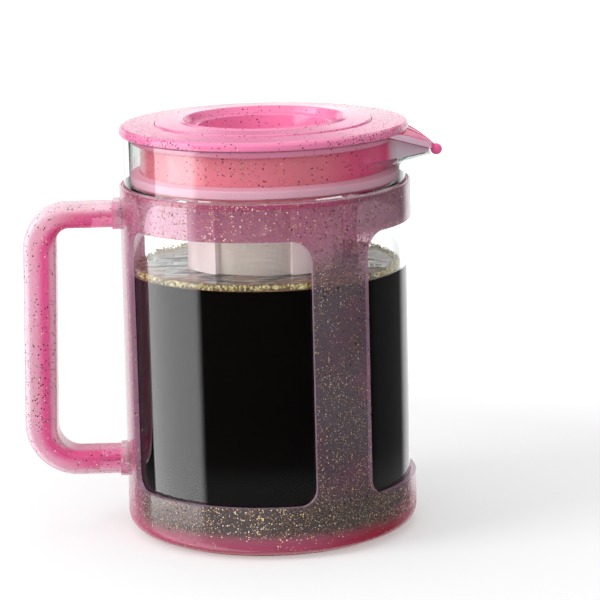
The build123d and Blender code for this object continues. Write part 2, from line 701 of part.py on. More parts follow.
def filter_frame():
    """The filter's moulding: a top ring with bayonet lugs, four channel-shaped legs, a hoop and
    the ring that the base turns onto."""
    frame = turned(
        [
            (LEG_IN_R, SPIGOT_Z),
            (SPIGOT_R, SPIGOT_Z),
            (SPIGOT_R, FILTER_FOOT_Z),
            (FILTER_R, FILTER_FOOT_Z),
            (FILTER_R, FILTER_TOP_Z),
            (TOP_RING_IN_R, FILTER_TOP_Z),
            (TOP_RING_IN_R, TOP_RING_Z),
            (LEG_IN_R, TOP_RING_Z),
        ]
    )
    outer = FILTER_R + CUT
    inner = LEG_IN_R - CUT
    hoop_top = HOOP_Z + HOOP_H
    arc = 360 / LEG_COUNT - LEG_ARC
    for direction in spread(LEG_COUNT, FILTER_TURN + 180 / LEG_COUNT):
        frame -= sector(outer, inner, WINDOW_BASE_Z, HOOP_Z, direction, arc)
        frame -= sector(outer, inner, hoop_top, TOP_RING_Z, direction, arc)
        frame -= sector(outer, MESH_R + HOOP_T / 2, HOOP_Z, hoop_top, direction, arc)
        frame -= sector(MESH_R - HOOP_T / 2, inner, HOOP_Z, hoop_top, direction, arc)
    hollow_arc = LEG_ARC - 2 * LEG_SIDE_ARC
    for direction in spread(LEG_COUNT, FILTER_TURN):
        frame -= sector(
            FILTER_R - LEG_SKIN, inner, WINDOW_BASE_Z, TOP_RING_Z - LEG_SKIN, direction, hollow_arc
        )
    upper = spread(LUG_COUNT, FILTER_TURN)
    root = FILTER_R - TOP_RING_WALL / 2
    for lug in lug_ring(FILTER_R + LUG_REACH, root, LUG_Z, LUG_Z + LUG_H, upper, LUG_ARC):
        frame += lug
    base_lug_z = SPIGOT_Z + BASE_LUG_Z
    base_lug_r = SPIGOT_R + BASE_LUG_REACH
    root = (SPIGOT_R + LEG_IN_R) / 2
    for lug in lug_ring(base_lug_r, root, base_lug_z, base_lug_z + BASE_LUG_H, upper, LUG_ARC):
        frame += lug
    return frame


def filter_mesh():
    """The fine mesh: one panel in each opening between two legs, above and below the hoop."""
    panels = []
    arc = 360 / LEG_COUNT - LEG_ARC
    tiers = [(WINDOW_BASE_Z, HOOP_Z), (HOOP_Z + HOOP_H, TOP_RING_Z)]
    for direction in spread(LEG_COUNT, FILTER_TURN + 180 / LEG_COUNT):
        for low, high in tiers:
            panels.append(sector(MESH_R, MESH_R - MESH_T, low, high, direction, arc))
    return panels


def filter_gasket():
    """The soft washer between the filter's top ring and the lid."""
    return ring(FILTER_R, FILTER_R - FILTER_GASKET_W, FILTER_GASKET_Z, FILTER_GASKET_Z + FILTER_GASKET_T)


def filter_base():
    """The filter's floor, a dish that turns onto the spigot with a bayonet."""
    dish = turned(
        [
            (0, BASE_Z),
            (BASE_R, BASE_Z),
            (BASE_R, BASE_TOP_Z),
            (BASE_IN_R, BASE_TOP_Z),
            (BASE_IN_R, BASE_FLOOR_Z),
            (0, BASE_FLOOR_Z),
        ],
        {1: BASE_EDGE},
    )
    groove_r = SPIGOT_R + BASE_LUG_REACH + LOOSE
    lug_z = SPIGOT_Z + BASE_LUG_Z
    lug_top = lug_z + BASE_LUG_H
    dish -= ring(groove_r, SPIGOT_R, lug_z - LOOSE, lug_top + LOOSE)
    free = spread(LUG_COUNT, FILTER_TURN - TWIST)
    arc = LUG_ARC + 2 * NOTCH_PLAY
    for notch in lug_ring(groove_r, SPIGOT_R, lug_z, BASE_TOP_Z + CUT, free, arc):
        dish -= notch
    return dish


def base_gasket():
    """The soft washer between the spigot and the base's floor."""
    return ring(SPIGOT_R, LEG_IN_R, BASE_FLOOR_Z, BASE_FLOOR_Z + BASE_GASKET_T)


def write(name, shape):
    """Write one node, which may hold several separate solids."""
    solids = [solid for item in (shape if isinstance(shape, list) else [shape]) for solid in item.solids()]
    export_step(Compound(children=solids) if len(solids) > 1 else solids[0], f"parts/{name}.step")


def main():
    os.makedirs("parts", exist_ok=True)
    bar = handle_bar()
    nodes = {
        "glass_carafe": glass_carafe(),
        "sleeve": sleeve(),
        "band_gasket": band_gasket(),
        "seat_pad": pad(SEAT_PAD_R, SLEEVE_FLOOR_Z, GLASS_Z),
        "foot_pad": pad(FOOT_PAD_R, 0, FOOT_PAD_T),
        "handle_shell": handle_shell(bar),
        "handle_grip": handle_grip(bar),
        "handle_screws": handle_screws(),
        "lid_top": lid_top(),
        "lid_skirt": lid_skirt(),
        "lid_gasket": lid_gasket(),
        "pouring_beak": pouring_beak(),
        "filter_cap": filter_cap(),
        "cap_gasket": cap_gasket(),
        "filter_frame": filter_frame(),
        "filter_mesh": filter_mesh(),
        "filter_gasket": filter_gasket(),
        "filter_base": filter_base(),
        "base_gasket": base_gasket(),
    }
    for name, shape in nodes.items():
        write(name, shape)


main()
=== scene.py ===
"""Looks of the cold brew coffee maker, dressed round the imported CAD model.

Metres, in the CAD's own frame: origin at the centre of the foot, +Z up, +X the beak, -X the
handle. Most pieces keep their CAD mesh and get a material here. The glass and the beak are
modelled again, because the CAD solids are plainer than the real ones. The collar under the
lid, the coffee and its foam are added."""

import math
import random

import bmesh
import bpy
from mathutils import Matrix, Vector


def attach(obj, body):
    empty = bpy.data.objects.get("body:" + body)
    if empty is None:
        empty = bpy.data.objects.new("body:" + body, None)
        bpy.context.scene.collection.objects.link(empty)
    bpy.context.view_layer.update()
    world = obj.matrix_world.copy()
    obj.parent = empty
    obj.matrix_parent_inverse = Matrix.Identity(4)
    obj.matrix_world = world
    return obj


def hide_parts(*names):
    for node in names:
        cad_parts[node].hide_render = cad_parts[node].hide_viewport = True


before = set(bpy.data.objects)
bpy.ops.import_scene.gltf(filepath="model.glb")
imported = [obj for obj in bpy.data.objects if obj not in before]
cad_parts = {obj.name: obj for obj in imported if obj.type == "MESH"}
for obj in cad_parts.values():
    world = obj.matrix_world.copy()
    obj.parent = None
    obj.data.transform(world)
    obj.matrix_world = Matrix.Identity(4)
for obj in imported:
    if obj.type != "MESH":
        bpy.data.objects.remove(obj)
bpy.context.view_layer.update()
MM = 0.001

# --- Camera: the photograph is 600 x 600 ---
IMAGE = 600
FOCAL_PX = 2929.3
SENSOR = 36.0
CAMERA_AT = Vector((2.79, -1200.0, 344.97)) * MM
CAMERA_PITCH = 0.2052
CAMERA_YAW = 0.0089
CAMERA_ROLL = -0.0238
CAMERA_CLIP = (0.05, 20)


def make_camera():
    """The camera of the photograph, from its place, pitch, yaw and roll."""
    ahead = Vector((
        math.sin(CAMERA_YAW) * math.cos(CAMERA_PITCH),
        math.cos(CAMERA_YAW) * math.cos(CAMERA_PITCH),
        -math.sin(CAMERA_PITCH),
    ))
    level = Vector((math.cos(CAMERA_YAW), -math.sin(CAMERA_YAW), 0))
    above = level.cross(ahead)
    right = math.cos(CAMERA_ROLL) * level + math.sin(CAMERA_ROLL) * above
    up = -math.sin(CAMERA_ROLL) * level + math.cos(CAMERA_ROLL) * above
    camera = bpy.data.objects.new("camera", bpy.data.cameras.new("camera"))
    camera.data.sensor_width = SENSOR
    camera.data.lens = SENSOR * FOCAL_PX / IMAGE
    camera.data.clip_start, camera.data.clip_end = CAMERA_CLIP
    turn = Matrix((right, up, -ahead)).transposed()
    camera.matrix_world = Matrix.Translation(CAMERA_AT) @ turn.to_4x4()
    bpy.context.scene.collection.objects.link(camera)
    bpy.context.scene.camera = camera


make_camera()


# --- Node helpers ---
class Nodes:
    """The node tree of a material, or of a world, with short calls to add and link nodes."""

    def __init__(self, name, world=False):
        self.material = (bpy.data.worlds if world else bpy.data.materials).new(name)
        self.material.use_nodes = True
        self.tree = self.material.node_tree
        self.tree.nodes.clear()
        self.output = self.tree.nodes.new("ShaderNodeOutput" + ("World" if world else "Material"))

    def add(self, kind, inputs=None, **settings):
        node = self.tree.nodes.new("ShaderNode" + kind)
        for key, value in settings.items():
            setattr(node, key, value)
        for key, value in (inputs or {}).items():
            self.put(node, key, value)
        return node

    def put(self, node, key, value):
        socket = node.inputs[key]
        if isinstance(value, bpy.types.NodeSocket):
            self.tree.links.new(value, socket)
        elif isinstance(value, tuple) and len(value) == 3 and len(socket.default_value) == 4:
            socket.default_value = (*value, 1.0)
        else:
            socket.default_value = value

    def math(self, operation, first, second=0.0, third=0.0):
        node = self.add("Math", {0: first, 1: second, 2: third}, operation=operation)
        return node.outputs[0]

    def product(self, first, *others):
        """All the values, multiplied."""
        for other in others:
            first = self.math("MULTIPLY", first, other)
        return first

    def vector(self, operation, first, second=(0.0, 0.0, 0.0)):
        """A vector operation. Its second value is the factor where it scales."""
        key = "Scale" if operation == "SCALE" else 1
        node = self.add("VectorMath", {0: first, key: second}, operation=operation)
        return node.outputs["Value" if operation in ("LENGTH", "DOT_PRODUCT") else "Vector"]

    def place(self):
        """Where a point lies in its piece, in metres."""
        return self.add("TexCoord").outputs["Object"]

    def axes(self, vector=None):
        """The x, y and z of a vector, or of the place."""
        return self.add("SeparateXYZ", {0: self.place() if vector is None else vector}).outputs

    def geometry(self, key):
        return self.add("NewGeometry").outputs[key]

    def up(self):
        """How far a face looks up: 1 straight up, and -1 straight down."""
        return self.axes(self.geometry("True Normal"))[2]

    def entering(self):
        """1 where light meets the outside of a skin, and 0 on its way out."""
        return self.math("SUBTRACT", 1.0, self.geometry("Backfacing"))

    def noise(self, scale, detail):
        """Soft clouds over the piece, from 0 to 1."""
        inputs = {"Vector": self.place(), "Scale": scale, "Detail": detail}
        return self.add("TexNoise", inputs).outputs["Fac"]

    def rise(self, value, none, full):
        """0 up to none, 1 beyond full, and a smooth rise between them. full may be the lower."""
        node = self.add("MapRange", {0: value, 1: none, 2: full}, interpolation_type="SMOOTHSTEP")
        return node.outputs[0]

    def graded(self, value, start, end, low=0.0, high=1.0):
        """low up to start, high beyond end, and an even change between them."""
        inputs = {0: value, 1: start, 2: end, 3: low, 4: high}
        return self.add("MapRange", inputs).outputs[0]

    def between(self, share, low, high):
        """low where share is 0, and high where it is 1."""
        return self.graded(share, 0.0, 1.0, low, high)

    def blend(self, share, first, second):
        """The first colour where share is 0, and the second where it is 1."""
        inputs = {0: share, 6: first, 7: second}
        return self.add("Mix", inputs, data_type="RGBA").outputs[2]

    def clear(self, colour):
        """Lets light straight through, tinted."""
        return self.add("BsdfTransparent", {"Color": colour})

    def mix(self, factor, first, second):
        return self.add("MixShader", {0: factor, 1: first.outputs[0], 2: second.outputs[0]})

    def finish(self, shader):
        self.tree.links.new(shader.outputs[0], self.output.inputs["Surface"])
        return self.material


def srgb(red, green, blue):
    """A colour given in 0-255 screen values, as linear light."""
    def linear(value):
        value /= 255
        return value / 12.92 if value <= 0.04045 else ((value + 0.055) / 1.055) ** 2.4
    return (linear(red), linear(green), linear(blue))


def banded(nodes, place, stops, change="EASE"):
    """A colour that changes with place through stops of (place, colour)."""
    ramp = nodes.add("ValToRGB", {0: place})
    ramp.color_ramp.interpolation = change
    elements = ramp.color_ramp.elements
    elements[0].position, elements[1].position = stops[0][0], stops[-1][0]
    elements[0].color, elements[1].color = (*stops[0][1], 1), (*stops[-1][1], 1)
    for position, colour in stops[1:-1]:
        elements.new(position).color = (*colour, 1)
    return ramp.outputs[0]


# --- Flakes ---
FLAKE_PALE = srgb(252, 244, 238)
GOLD = srgb(236, 200, 130)
BRONZE = srgb(150, 96, 52)
FLAKE_DARK = srgb(52, 26, 34)
FLAKE_R = (0.25, 0.75)  # least and largest radius, as shares of the flakes' size
FLAKE_TIP = 2.6  # how far flakes are tipped out of the surface
DRIFT_EDGES = (0.36, 0.64)  # of the noise that gathers flakes in drifts
DRIFT_SHARES = (0.5, 1.3)  # of the coverage, between the drifts and in them
CUP_CROWD = (0.045, 0.022)  # heights, in metres
FOOT_BARE = (0.006, 0.013)  # the same
LID_CROWD = (0.026, 0.044)  # sideways


def glitter(nodes, size_mm, coverage, spread_mm, crowds=None):
    """Flakes in the plastic: a mask, and one random colour for each flake. Cells are spread_mm
    apart, a flake is about size_mm across, and coverage is the share of cells that hold one.
    crowds takes the nodes and gives how much of that share is kept over the piece."""
    cells = nodes.add(
        "TexVoronoi", {"Vector": nodes.place(), "Scale": 1000 / spread_mm, "Randomness": 1.0},
        voronoi_dimensions="3D", feature="F1",
    )
    colour = cells.outputs["Color"]
    parts = nodes.add("SeparateColor", {0: colour}).outputs
    radius = nodes.between(parts[1], *(share * size_mm / spread_mm for share in FLAKE_R))
    inside = nodes.math("LESS_THAN", cells.outputs["Distance"], radius)
    shares = (share * coverage for share in DRIFT_SHARES)
    crowd = nodes.graded(nodes.noise(scale=38.0, detail=2.0), *DRIFT_EDGES, *shares)
    if crowds:
        crowd = nodes.product(crowd, crowds(nodes))
    held = nodes.math("LESS_THAN", parts[0], crowd)
    return nodes.product(inside, held), colour, parts


def flake_shader(nodes, colour, parts, dark):
    """A small mirror, tipped its own way for each flake. It is pale or gold, or dark for a share
    of the flakes."""
    tip = nodes.vector("SUBTRACT", colour, (0.5, 0.5, 0.5))
    tip = nodes.vector("SCALE", tip, FLAKE_TIP)
    facing = nodes.vector("NORMALIZE", nodes.vector("ADD", nodes.geometry("Normal"), tip))
    tint = banded(nodes, parts[2], (
        (0.0, FLAKE_PALE), (0.55 * (1 - dark), GOLD), (0.99 - 0.98 * dark, BRONZE),
        (1.0, FLAKE_DARK),
    ))
    return nodes.add("BsdfPrincipled", {
        "Base Color": tint, "Metallic": 0.25, "Roughness": 0.25, "Normal": facing,
    })


def sides_crowded(nodes):
    """Many flakes on the left and the right of the lid, and few between."""
    across = nodes.math("ABSOLUTE", nodes.axes()[0])
    return nodes.graded(across, *LID_CROWD, low=0.25, high=1.5)


def cup_crowded(nodes):
    """Most flakes in the sleeve's cup, fewer above it, and very few in the rounded foot."""
    height = nodes.axes()[2]
    cup = nodes.between(nodes.rise(height, *CUP_CROWD), 0.65, 1.15)
    foot = nodes.between(nodes.rise(height, *FOOT_BARE), 0.15, 1.0)
    return nodes.product(cup, foot)


# --- Plastics, silicone, glass and steel ---
CLOUD_SHADES = (0.94, 1.05)  # how far the colour of a moulding drifts
LEVEL_FACES = (0.85, 0.97)  # how far up the faces look that a dome tips
SILICONE_PINK = srgb(252, 192, 214)
GLASS_GREEN = (0.955, 0.98, 0.97)
GLASS_THIN = (0.93, 0.95, 0.94)
GLASS_IOR = 1.47
NECK_FROM = (0.1464, 0.1474)  # heights where the thin wall starts
# darker at a slant: partly the longer path through the glass, partly painted shade
NECK_BANDS = ((0.0, (0.96, 0.975, 0.97)), (0.75, GLASS_THIN), (1.0, (0.42, 0.45, 0.44)))
# painted shade on the rim's faces that look up
NECK_RIM_SHADE = (0.50, 0.60, 0.57)
NECK_CLEAR = (0.985, 0.99, 0.985)
NECK_GLOSS = 1.8
RIM_FACES = (0.25, 0.7)  # how far up the faces of the rim look
GLASS_DEEP = 5.5  # after so many bounces light goes straight through
# painted light: steel made pale and pinkish, as if lit through the pink boss
STEEL_PAINTED_LIGHT = srgb(226, 206, 212)
MESH_GREY = srgb(226, 212, 202)
MESH_R = 31.6  # mm
MESH_PITCH = 0.5  # mm from wire to wire
WIRE_SHARE = 0.45


def outward(nodes):
    """The level direction from the axis to a point."""
    return nodes.vector("NORMALIZE", nodes.vector("MULTIPLY", nodes.place(), (1, 1, 0)))


def domed(nodes, normal, amount):
    """Tips the normals of level faces outwards, as those of a slightly domed moulding are."""
    amount = nodes.product(nodes.rise(nodes.up(), *LEVEL_FACES), amount)
    tip = nodes.vector("SCALE", outward(nodes), amount)
    return nodes.vector("NORMALIZE", nodes.vector("ADD", normal, tip))


def moulded(
    name, colour=None, roughness=0.22, shine=0.5, haze=0.0, clear=0.0, tint=None, flakes=None,
    crowds=None, paint=None, thin=None, dome=0.0, matt_below=(0.001, 0.011),
):
    """Glossy moulded plastic. clear is the share of light that passes straight through, haze the
    share that is scattered through, and flakes = (size_mm, coverage, spread_mm, share of dark
    ones) adds glitter. paint and thin take the nodes and give a colour and a clear share that
    vary over the piece. A clear piece loses its gloss between the heights matt_below."""
    nodes = Nodes(name)
    shade = nodes.between(nodes.noise(scale=60.0, detail=3.0), *CLOUD_SHADES)
    varied = nodes.vector("SCALE", paint(nodes) if paint else colour, shade)
    ripple = nodes.noise(scale=250.0, detail=1.0)
    bump = nodes.add("Bump", {"Height": ripple, "Strength": 0.03, "Distance": 0.0004})
    normal = domed(nodes, bump.outputs[0], dome) if dome else bump.outputs[0]
    body = nodes.add("BsdfPrincipled", {
        "Base Color": varied, "Roughness": roughness, "Normal": normal,
        "IOR": 1.5, "Specular IOR Level": shine,
    })
    if haze:
        body = nodes.mix(haze, body, nodes.add("BsdfTranslucent", {"Color": varied}))
    if clear:
        body = nodes.mix(thin(nodes) if thin else clear, body, nodes.clear(tint))
        edge = nodes.add("Fresnel", {"IOR": 1.55}).outputs[0]
        above = nodes.rise(nodes.axes()[2], *matt_below)
        edge = nodes.product(edge, nodes.entering(), 2 * shine, above)
        gloss = nodes.add("BsdfGlossy", {"Roughness": 0.5 * roughness})
        body = nodes.mix(edge, body, gloss)
    if flakes:
        *sizes, dark = flakes
        mask, colours, parts = glitter(nodes, *sizes, crowds)
        body = nodes.mix(mask, body, flake_shader(nodes, colours, parts, dark))
    return nodes.finish(body)


def soft(name, colour, clear=0.0):
    """Silicone: satin, and a little light comes through it."""
    return moulded(name, colour, roughness=0.42, haze=0.12, clear=clear, tint=colour)


def clear_glass(name):
    """Soda glass with a faint green tint. Its neck and lip are drawn as a thin wall that doesn't
    bend light, darker at a slant, partly for the longer path through the glass and partly as
    painted shade for the dark edge that refraction draws, and darkest at its rim, which is painted
    shade. Its shadow is light, as a thin wall's is."""
    nodes = Nodes(name)
    glass = nodes.add("BsdfPrincipled", {
        "Base Color": GLASS_GREEN, "Roughness": 0.0, "IOR": GLASS_IOR, "Transmission Weight": 1.0,
    })
    slant = nodes.add("LayerWeight", {"Blend": 0.5}).outputs["Facing"]
    # darker at a slant, partly painted shade
    wall = nodes.clear(banded(nodes, slant, NECK_BANDS))
    # painted shade: a dark rim
    wall = nodes.mix(nodes.rise(nodes.up(), *RIM_FACES), wall, nodes.clear(NECK_RIM_SHADE))
    edge = nodes.add("Fresnel", {"IOR": GLASS_IOR}).outputs[0]
    edge = nodes.math("MINIMUM", nodes.product(edge, nodes.entering(), NECK_GLOSS), 1.0)
    wall = nodes.mix(edge, wall, nodes.add("BsdfGlossy", {"Roughness": 0.0}))
    path = nodes.add("LightPath").outputs
    bounced = nodes.math("MAXIMUM", path["Is Diffuse Ray"], path["Is Shadow Ray"])
    wall = nodes.mix(bounced, wall, nodes.clear(NECK_CLEAR))
    neck = nodes.rise(nodes.axes()[2], *NECK_FROM)
    glass = nodes.mix(neck, glass, wall)
    lost = nodes.math("GREATER_THAN", path["Ray Depth"], GLASS_DEEP)
    straight = nodes.math("MAXIMUM", path["Is Shadow Ray"], lost)
    straight = nodes.product(straight, nodes.math("SUBTRACT", 1.0, neck))
    return nodes.finish(nodes.mix(straight, glass, nodes.clear(GLASS_THIN)))


def steel(name):
    """Finely ground steel, painted pale and pinkish: painted light, as if lit through the pink
    boss.
    """
    nodes = Nodes(name)
    rough = nodes.between(nodes.noise(scale=900.0, detail=2.0), 0.25, 0.45)
    return nodes.finish(nodes.add("BsdfPrincipled", {
        "Base Color": STEEL_PAINTED_LIGHT, "Metallic": 0.4, "Roughness": rough,
    }))


def mesh_cloth(name):
    """The filter's woven mesh: steel wires round it and along it, with square holes between."""
    nodes = Nodes(name)
    x, y, z = nodes.axes()
    turn = nodes.math("ARCTAN2", y, x)
    ways = (nodes.product(turn, MESH_R / MESH_PITCH), nodes.product(z, 1000 / MESH_PITCH))
    wires = (nodes.math("LESS_THAN", nodes.math("FRACT", way), WIRE_SHARE) for way in ways)
    wire = nodes.add("BsdfPrincipled", {
        "Base Color": MESH_GREY, "Metallic": 0.3, "Roughness": 0.45,
    })
    hole = nodes.clear((1.0, 1.0, 1.0))
    return nodes.finish(nodes.mix(nodes.math("MAXIMUM", *wires), hole, wire))


# --- The handle's colours, by how deep a point lies inside its outer edge ---
HANDLE_OUTSIDE = -0.1005  # x of the bar's outer edge at its top, in metres
HANDLE_LEAN = 0.0267  # how much further out it lies for each metre down
HANDLE_TOP, HANDLE_BOTTOM = 0.139, 0.0239
HANDLE_CORNER = 0.020
HANDLE_BAR = 0.0136  # thickness of the bar
HANDLE_TINT = srgb(255, 224, 238)
GRIP_TINT = srgb(252, 180, 216)
HANDLE_CORE = srgb(246, 96, 166)
HANDLE_BANDS = (
    (0.0, srgb(255, 240, 248)),
    (0.34, srgb(255, 204, 226)),
    (0.66, srgb(244, 100, 170)),
    (0.75, srgb(246, 118, 180)),
    (0.9, srgb(255, 226, 240)),
)
ARM_ZONE = (-0.092, -0.074)  # where the arms' streak grows, along x
ARM_STREAK = ((0.1, 0.36), (0.92, 0.78))  # how its two edges rise, in thicknesses of the bar
ARM_DEEP = 0.85


def handle_depth(nodes):
    """How deep a point lies inside the handle's outer edge, seen from the side, in metres."""
    along, _, height = nodes.axes()
    below = nodes.math("SUBTRACT", HANDLE_TOP, height)
    over = nodes.math("SUBTRACT", height, HANDLE_BOTTOM)
    across = nodes.math("SUBTRACT", along, HANDLE_OUTSIDE)
    across = nodes.math("MULTIPLY_ADD", below, HANDLE_LEAN, across)
    beside = nodes.math("MAXIMUM", nodes.math("SUBTRACT", HANDLE_CORNER, across), 0.0)
    ends = nodes.math("SUBTRACT", HANDLE_CORNER, nodes.math("MINIMUM", below, over))
    ends = nodes.math("MAXIMUM", ends, 0.0)
    square = nodes.math("MULTIPLY_ADD", beside, beside, nodes.product(ends, ends))
    return nodes.math("SUBTRACT", HANDLE_CORNER, nodes.math("SQRT", square))


def handle_paint(nodes):
    """A clear pale skin, and a deep streak towards the inside of the loop, wider in its arms."""
    depth = nodes.math("DIVIDE", handle_depth(nodes), HANDLE_BAR)
    streak = (nodes.rise(depth, *edge) for edge in ARM_STREAK)
    deep = nodes.product(nodes.rise(nodes.axes()[0], *ARM_ZONE), *streak, ARM_DEEP)
    return nodes.blend(deep, banded(nodes, depth, HANDLE_BANDS), HANDLE_CORE)


# --- The sleeve's colours, by zones. Each zone goes from none to full, in metres ---
SLEEVE_HAZE = srgb(158, 150, 158)
SLEEVE_HAZE_WARM = srgb(184, 144, 164)
SLEEVE_SIDE = srgb(222, 136, 176)
SLEEVE_BAND = srgb(196, 118, 158)
SLEEVE_BOSS = srgb(252, 168, 208)
# painted shade: the band's right end, darker mauve
SLEEVE_BAND_SHADE = srgb(170, 116, 138)
SLEEVE_CUP = srgb(150, 148, 144)
# painted highlight on the cut edges of the windows
SLEEVE_CUT_HIGHLIGHT = srgb(214, 186, 212)
# painted highlight, hot pink, on cut faces that look down
SLEEVE_EAVES_HIGHLIGHT = srgb(250, 176, 214)
# painted light: the pink glow of light through the rounded foot
SLEEVE_FOOT_GLOW = srgb(228, 112, 152)
# painted shade: deeper red at the foot's right end
SLEEVE_FOOT_SHADE = srgb(206, 44, 84)
SLEEVE_TINT = srgb(249, 224, 235)
FOOT_RED = srgb(205, 30, 70)
BAND_ZONE = (0.118, 0.136)  # up
# heights of the painted shade on the band's right end
BAND_SHADE_ZONE = (0.128, 0.133)
CUP_ZONE = (0.034, 0.018)  # down
FOOT_ZONE = (0.0125, 0.0055)
PAD_ZONE = (0.0046, 0.0016)
SIDE_ZONE = (-0.050, -0.057)  # towards the handle
BOSS_ZONE = (-0.0607, -0.0612)
BEAK_ZONE = (0.026, 0.040)  # towards the beak
# where the painted shade at the foot deepens, along x
FOOT_SHADE_ZONE = (0.010, 0.042)
CUT_FACES = (0.75, 0.45)  # faces that look less and less away from the axis
# cut faces that look down get the painted hot pink highlight
EAVES_FACES = (-0.3, -0.7)  # faces that look down
WARM_CLOUDS = (0.4, 0.62)
THIN_CLOUDS = (0.3, 0.7)
THIN_SHARES = (0.60, 0.76)  # light that goes straight through, by those clouds


def sleeve_zones(nodes):
    """Shares of the sleeve's cut edges, its rounded foot, the side at the handle and the bosses."""
    along, _, height = nodes.axes()
    facing = nodes.vector("DOT_PRODUCT", outward(nodes), nodes.geometry("True Normal"))
    cut = nodes.rise(nodes.math("ABSOLUTE", facing), *CUT_FACES)
    foot = nodes.rise(height, *FOOT_ZONE)
    return cut, foot, nodes.rise(along, *SIDE_ZONE), nodes.rise(along, *BOSS_ZONE)


def beak_side(nodes, zone):
    """The share of a zone that lies towards the beak."""
    return nodes.product(zone, nodes.rise(nodes.axes()[0], *BEAK_ZONE))


def sleeve_paint(nodes):
    """Grey mauve, with lighter cut edges as a painted highlight, pink towards the handle, and hot
    pink at the foot as a painted glow, deeper as painted shade on its right and dark at the band's
    right end.
    """
    cut, foot, beside, boss = sleeve_zones(nodes)
    along, _, height = nodes.axes()
    cloud = nodes.noise(scale=32.0, detail=2.0)
    band = nodes.rise(height, *BAND_ZONE)
    # painted highlight along the window edges: paler, and hot pink where the face looks down
    edge = nodes.blend(nodes.rise(nodes.up(), *EAVES_FACES), SLEEVE_CUT_HIGHLIGHT, SLEEVE_EAVES_HIGHLIGHT)
    # painted light at the foot: a pink glow, with painted shade deepening it towards the beak
    low = nodes.blend(nodes.rise(along, *FOOT_SHADE_ZONE), SLEEVE_FOOT_GLOW, SLEEVE_FOOT_SHADE)
    colour = SLEEVE_HAZE
    for share, paint in (
        (nodes.rise(cloud, *WARM_CLOUDS), SLEEVE_HAZE_WARM),
        (band, SLEEVE_BAND),
        # painted shade on the band's right end
        (beak_side(nodes, band), SLEEVE_BAND_SHADE),
        (nodes.rise(height, *CUP_ZONE), SLEEVE_CUP),
        (beside, SLEEVE_SIDE),
        (cut, edge),
        # the painted glow and shade of the foot
        (foot, low),
        (boss, SLEEVE_BOSS),
        (nodes.rise(height, *PAD_ZONE), FOOT_RED),
    ):
        colour = nodes.blend(share, colour, paint)
    return colour


def sleeve_thin(nodes):
    """How much light goes straight through: less at the cut edges, at the foot, beside the handle
    and at the band's right end, where the lessening is painted shade."""
    cut, foot, beside, boss = sleeve_zones(nodes)
    # painted shade: less light through the band's right end
    dark = beak_side(nodes, nodes.rise(nodes.axes()[2], *BAND_SHADE_ZONE))
    thick = 0.0
    for zone, share in ((cut, 0.45), (foot, 0.6), (beside, 0.35), (boss, 0.7), (dark, 0.55)):
        thick = nodes.math("MAXIMUM", thick, nodes.product(zone, share))
    thin = nodes.graded(nodes.noise(scale=24.0, detail=3.0), *THIN_CLOUDS, *THIN_SHARES)
    return nodes.product(thin, nodes.math("SUBTRACT", 1.0, thick))


# --- The colours of the lid, the beak and the filter ---
LID_PINK = srgb(238, 130, 174)
SKIRT_PINK = srgb(250, 138, 158)
SKIRT_DEEP = srgb(255, 96, 150)
SKIRT_HOT = srgb(250, 66, 132)
SKIRT_TINT = srgb(240, 150, 190)
COLLAR_PINK = srgb(250, 156, 192)
BEAK_PINK = srgb(250, 96, 160)
BEAK_TINT = srgb(252, 196, 222)
BEAD_PINK = srgb(255, 112, 176)
# painted light: the pale flanks of the hood
FLANK_PAINTED_LIGHT = srgb(255, 220, 240)
TROUGH_PINK = srgb(255, 224, 244)
TROUGH_TINT = srgb(250, 208, 228)
# painted shade on the trough's underside
TROUGH_UNDER_SHADE = srgb(224, 90, 148)
RIB_PINK = srgb(226, 84, 142)
RIB_TINT = srgb(240, 120, 170)
FILTER_PINK = srgb(255, 238, 238)
SKIRT_ZONE = (0.020, 0.042)  # along x, in metres
TROUGH_ZONE = (0.046, 0.056)
BEAD_ZONE = (0.0688, 0.0696)
HALF_SLOPE, HALF_START = -1.465, 0.10465  # of the hood's half width along x
FLANK_ZONE = (0.955, 0.985)  # sideways, as shares of that half width
# faces that look down get the painted shade
UNDER_FACES = (-0.25, -0.5)  # faces that look down


def beak_paint(nodes):
    """Hot pink on the roof and the bead, and paler on the flanks as painted light shining through
    them.
    """
    along, across, _ = nodes.axes()
    half = nodes.math("MULTIPLY_ADD", along, HALF_SLOPE, HALF_START)
    share = nodes.math("DIVIDE", nodes.math("ABSOLUTE", across), half)
    # painted light on the flanks
    colour = nodes.blend(nodes.rise(share, *FLANK_ZONE), BEAK_PINK, FLANK_PAINTED_LIGHT)
    return nodes.blend(nodes.rise(along, *BEAD_ZONE), colour, BEAD_PINK)


def skirt_paint(nodes):
    """Pink, and deeper towards the beak."""
    return nodes.blend(nodes.rise(nodes.axes()[0], *SKIRT_ZONE), SKIRT_PINK, SKIRT_DEEP)


def trough_paint(nodes):
    """The skirt's pink where the trough leaves it, paler towards the nose, and deep beneath:
    painted shade on the faces that look down.
    """
    share = nodes.graded(nodes.axes()[0], *TROUGH_ZONE)
    side = banded(nodes, share, ((0.0, SKIRT_DEEP), (0.35, SKIRT_HOT), (0.75, TROUGH_PINK)))
    # painted shade: deep pink on faces that look down
    return nodes.blend(nodes.rise(nodes.up(), *UNDER_FACES), side, TROUGH_UNDER_SHADE)


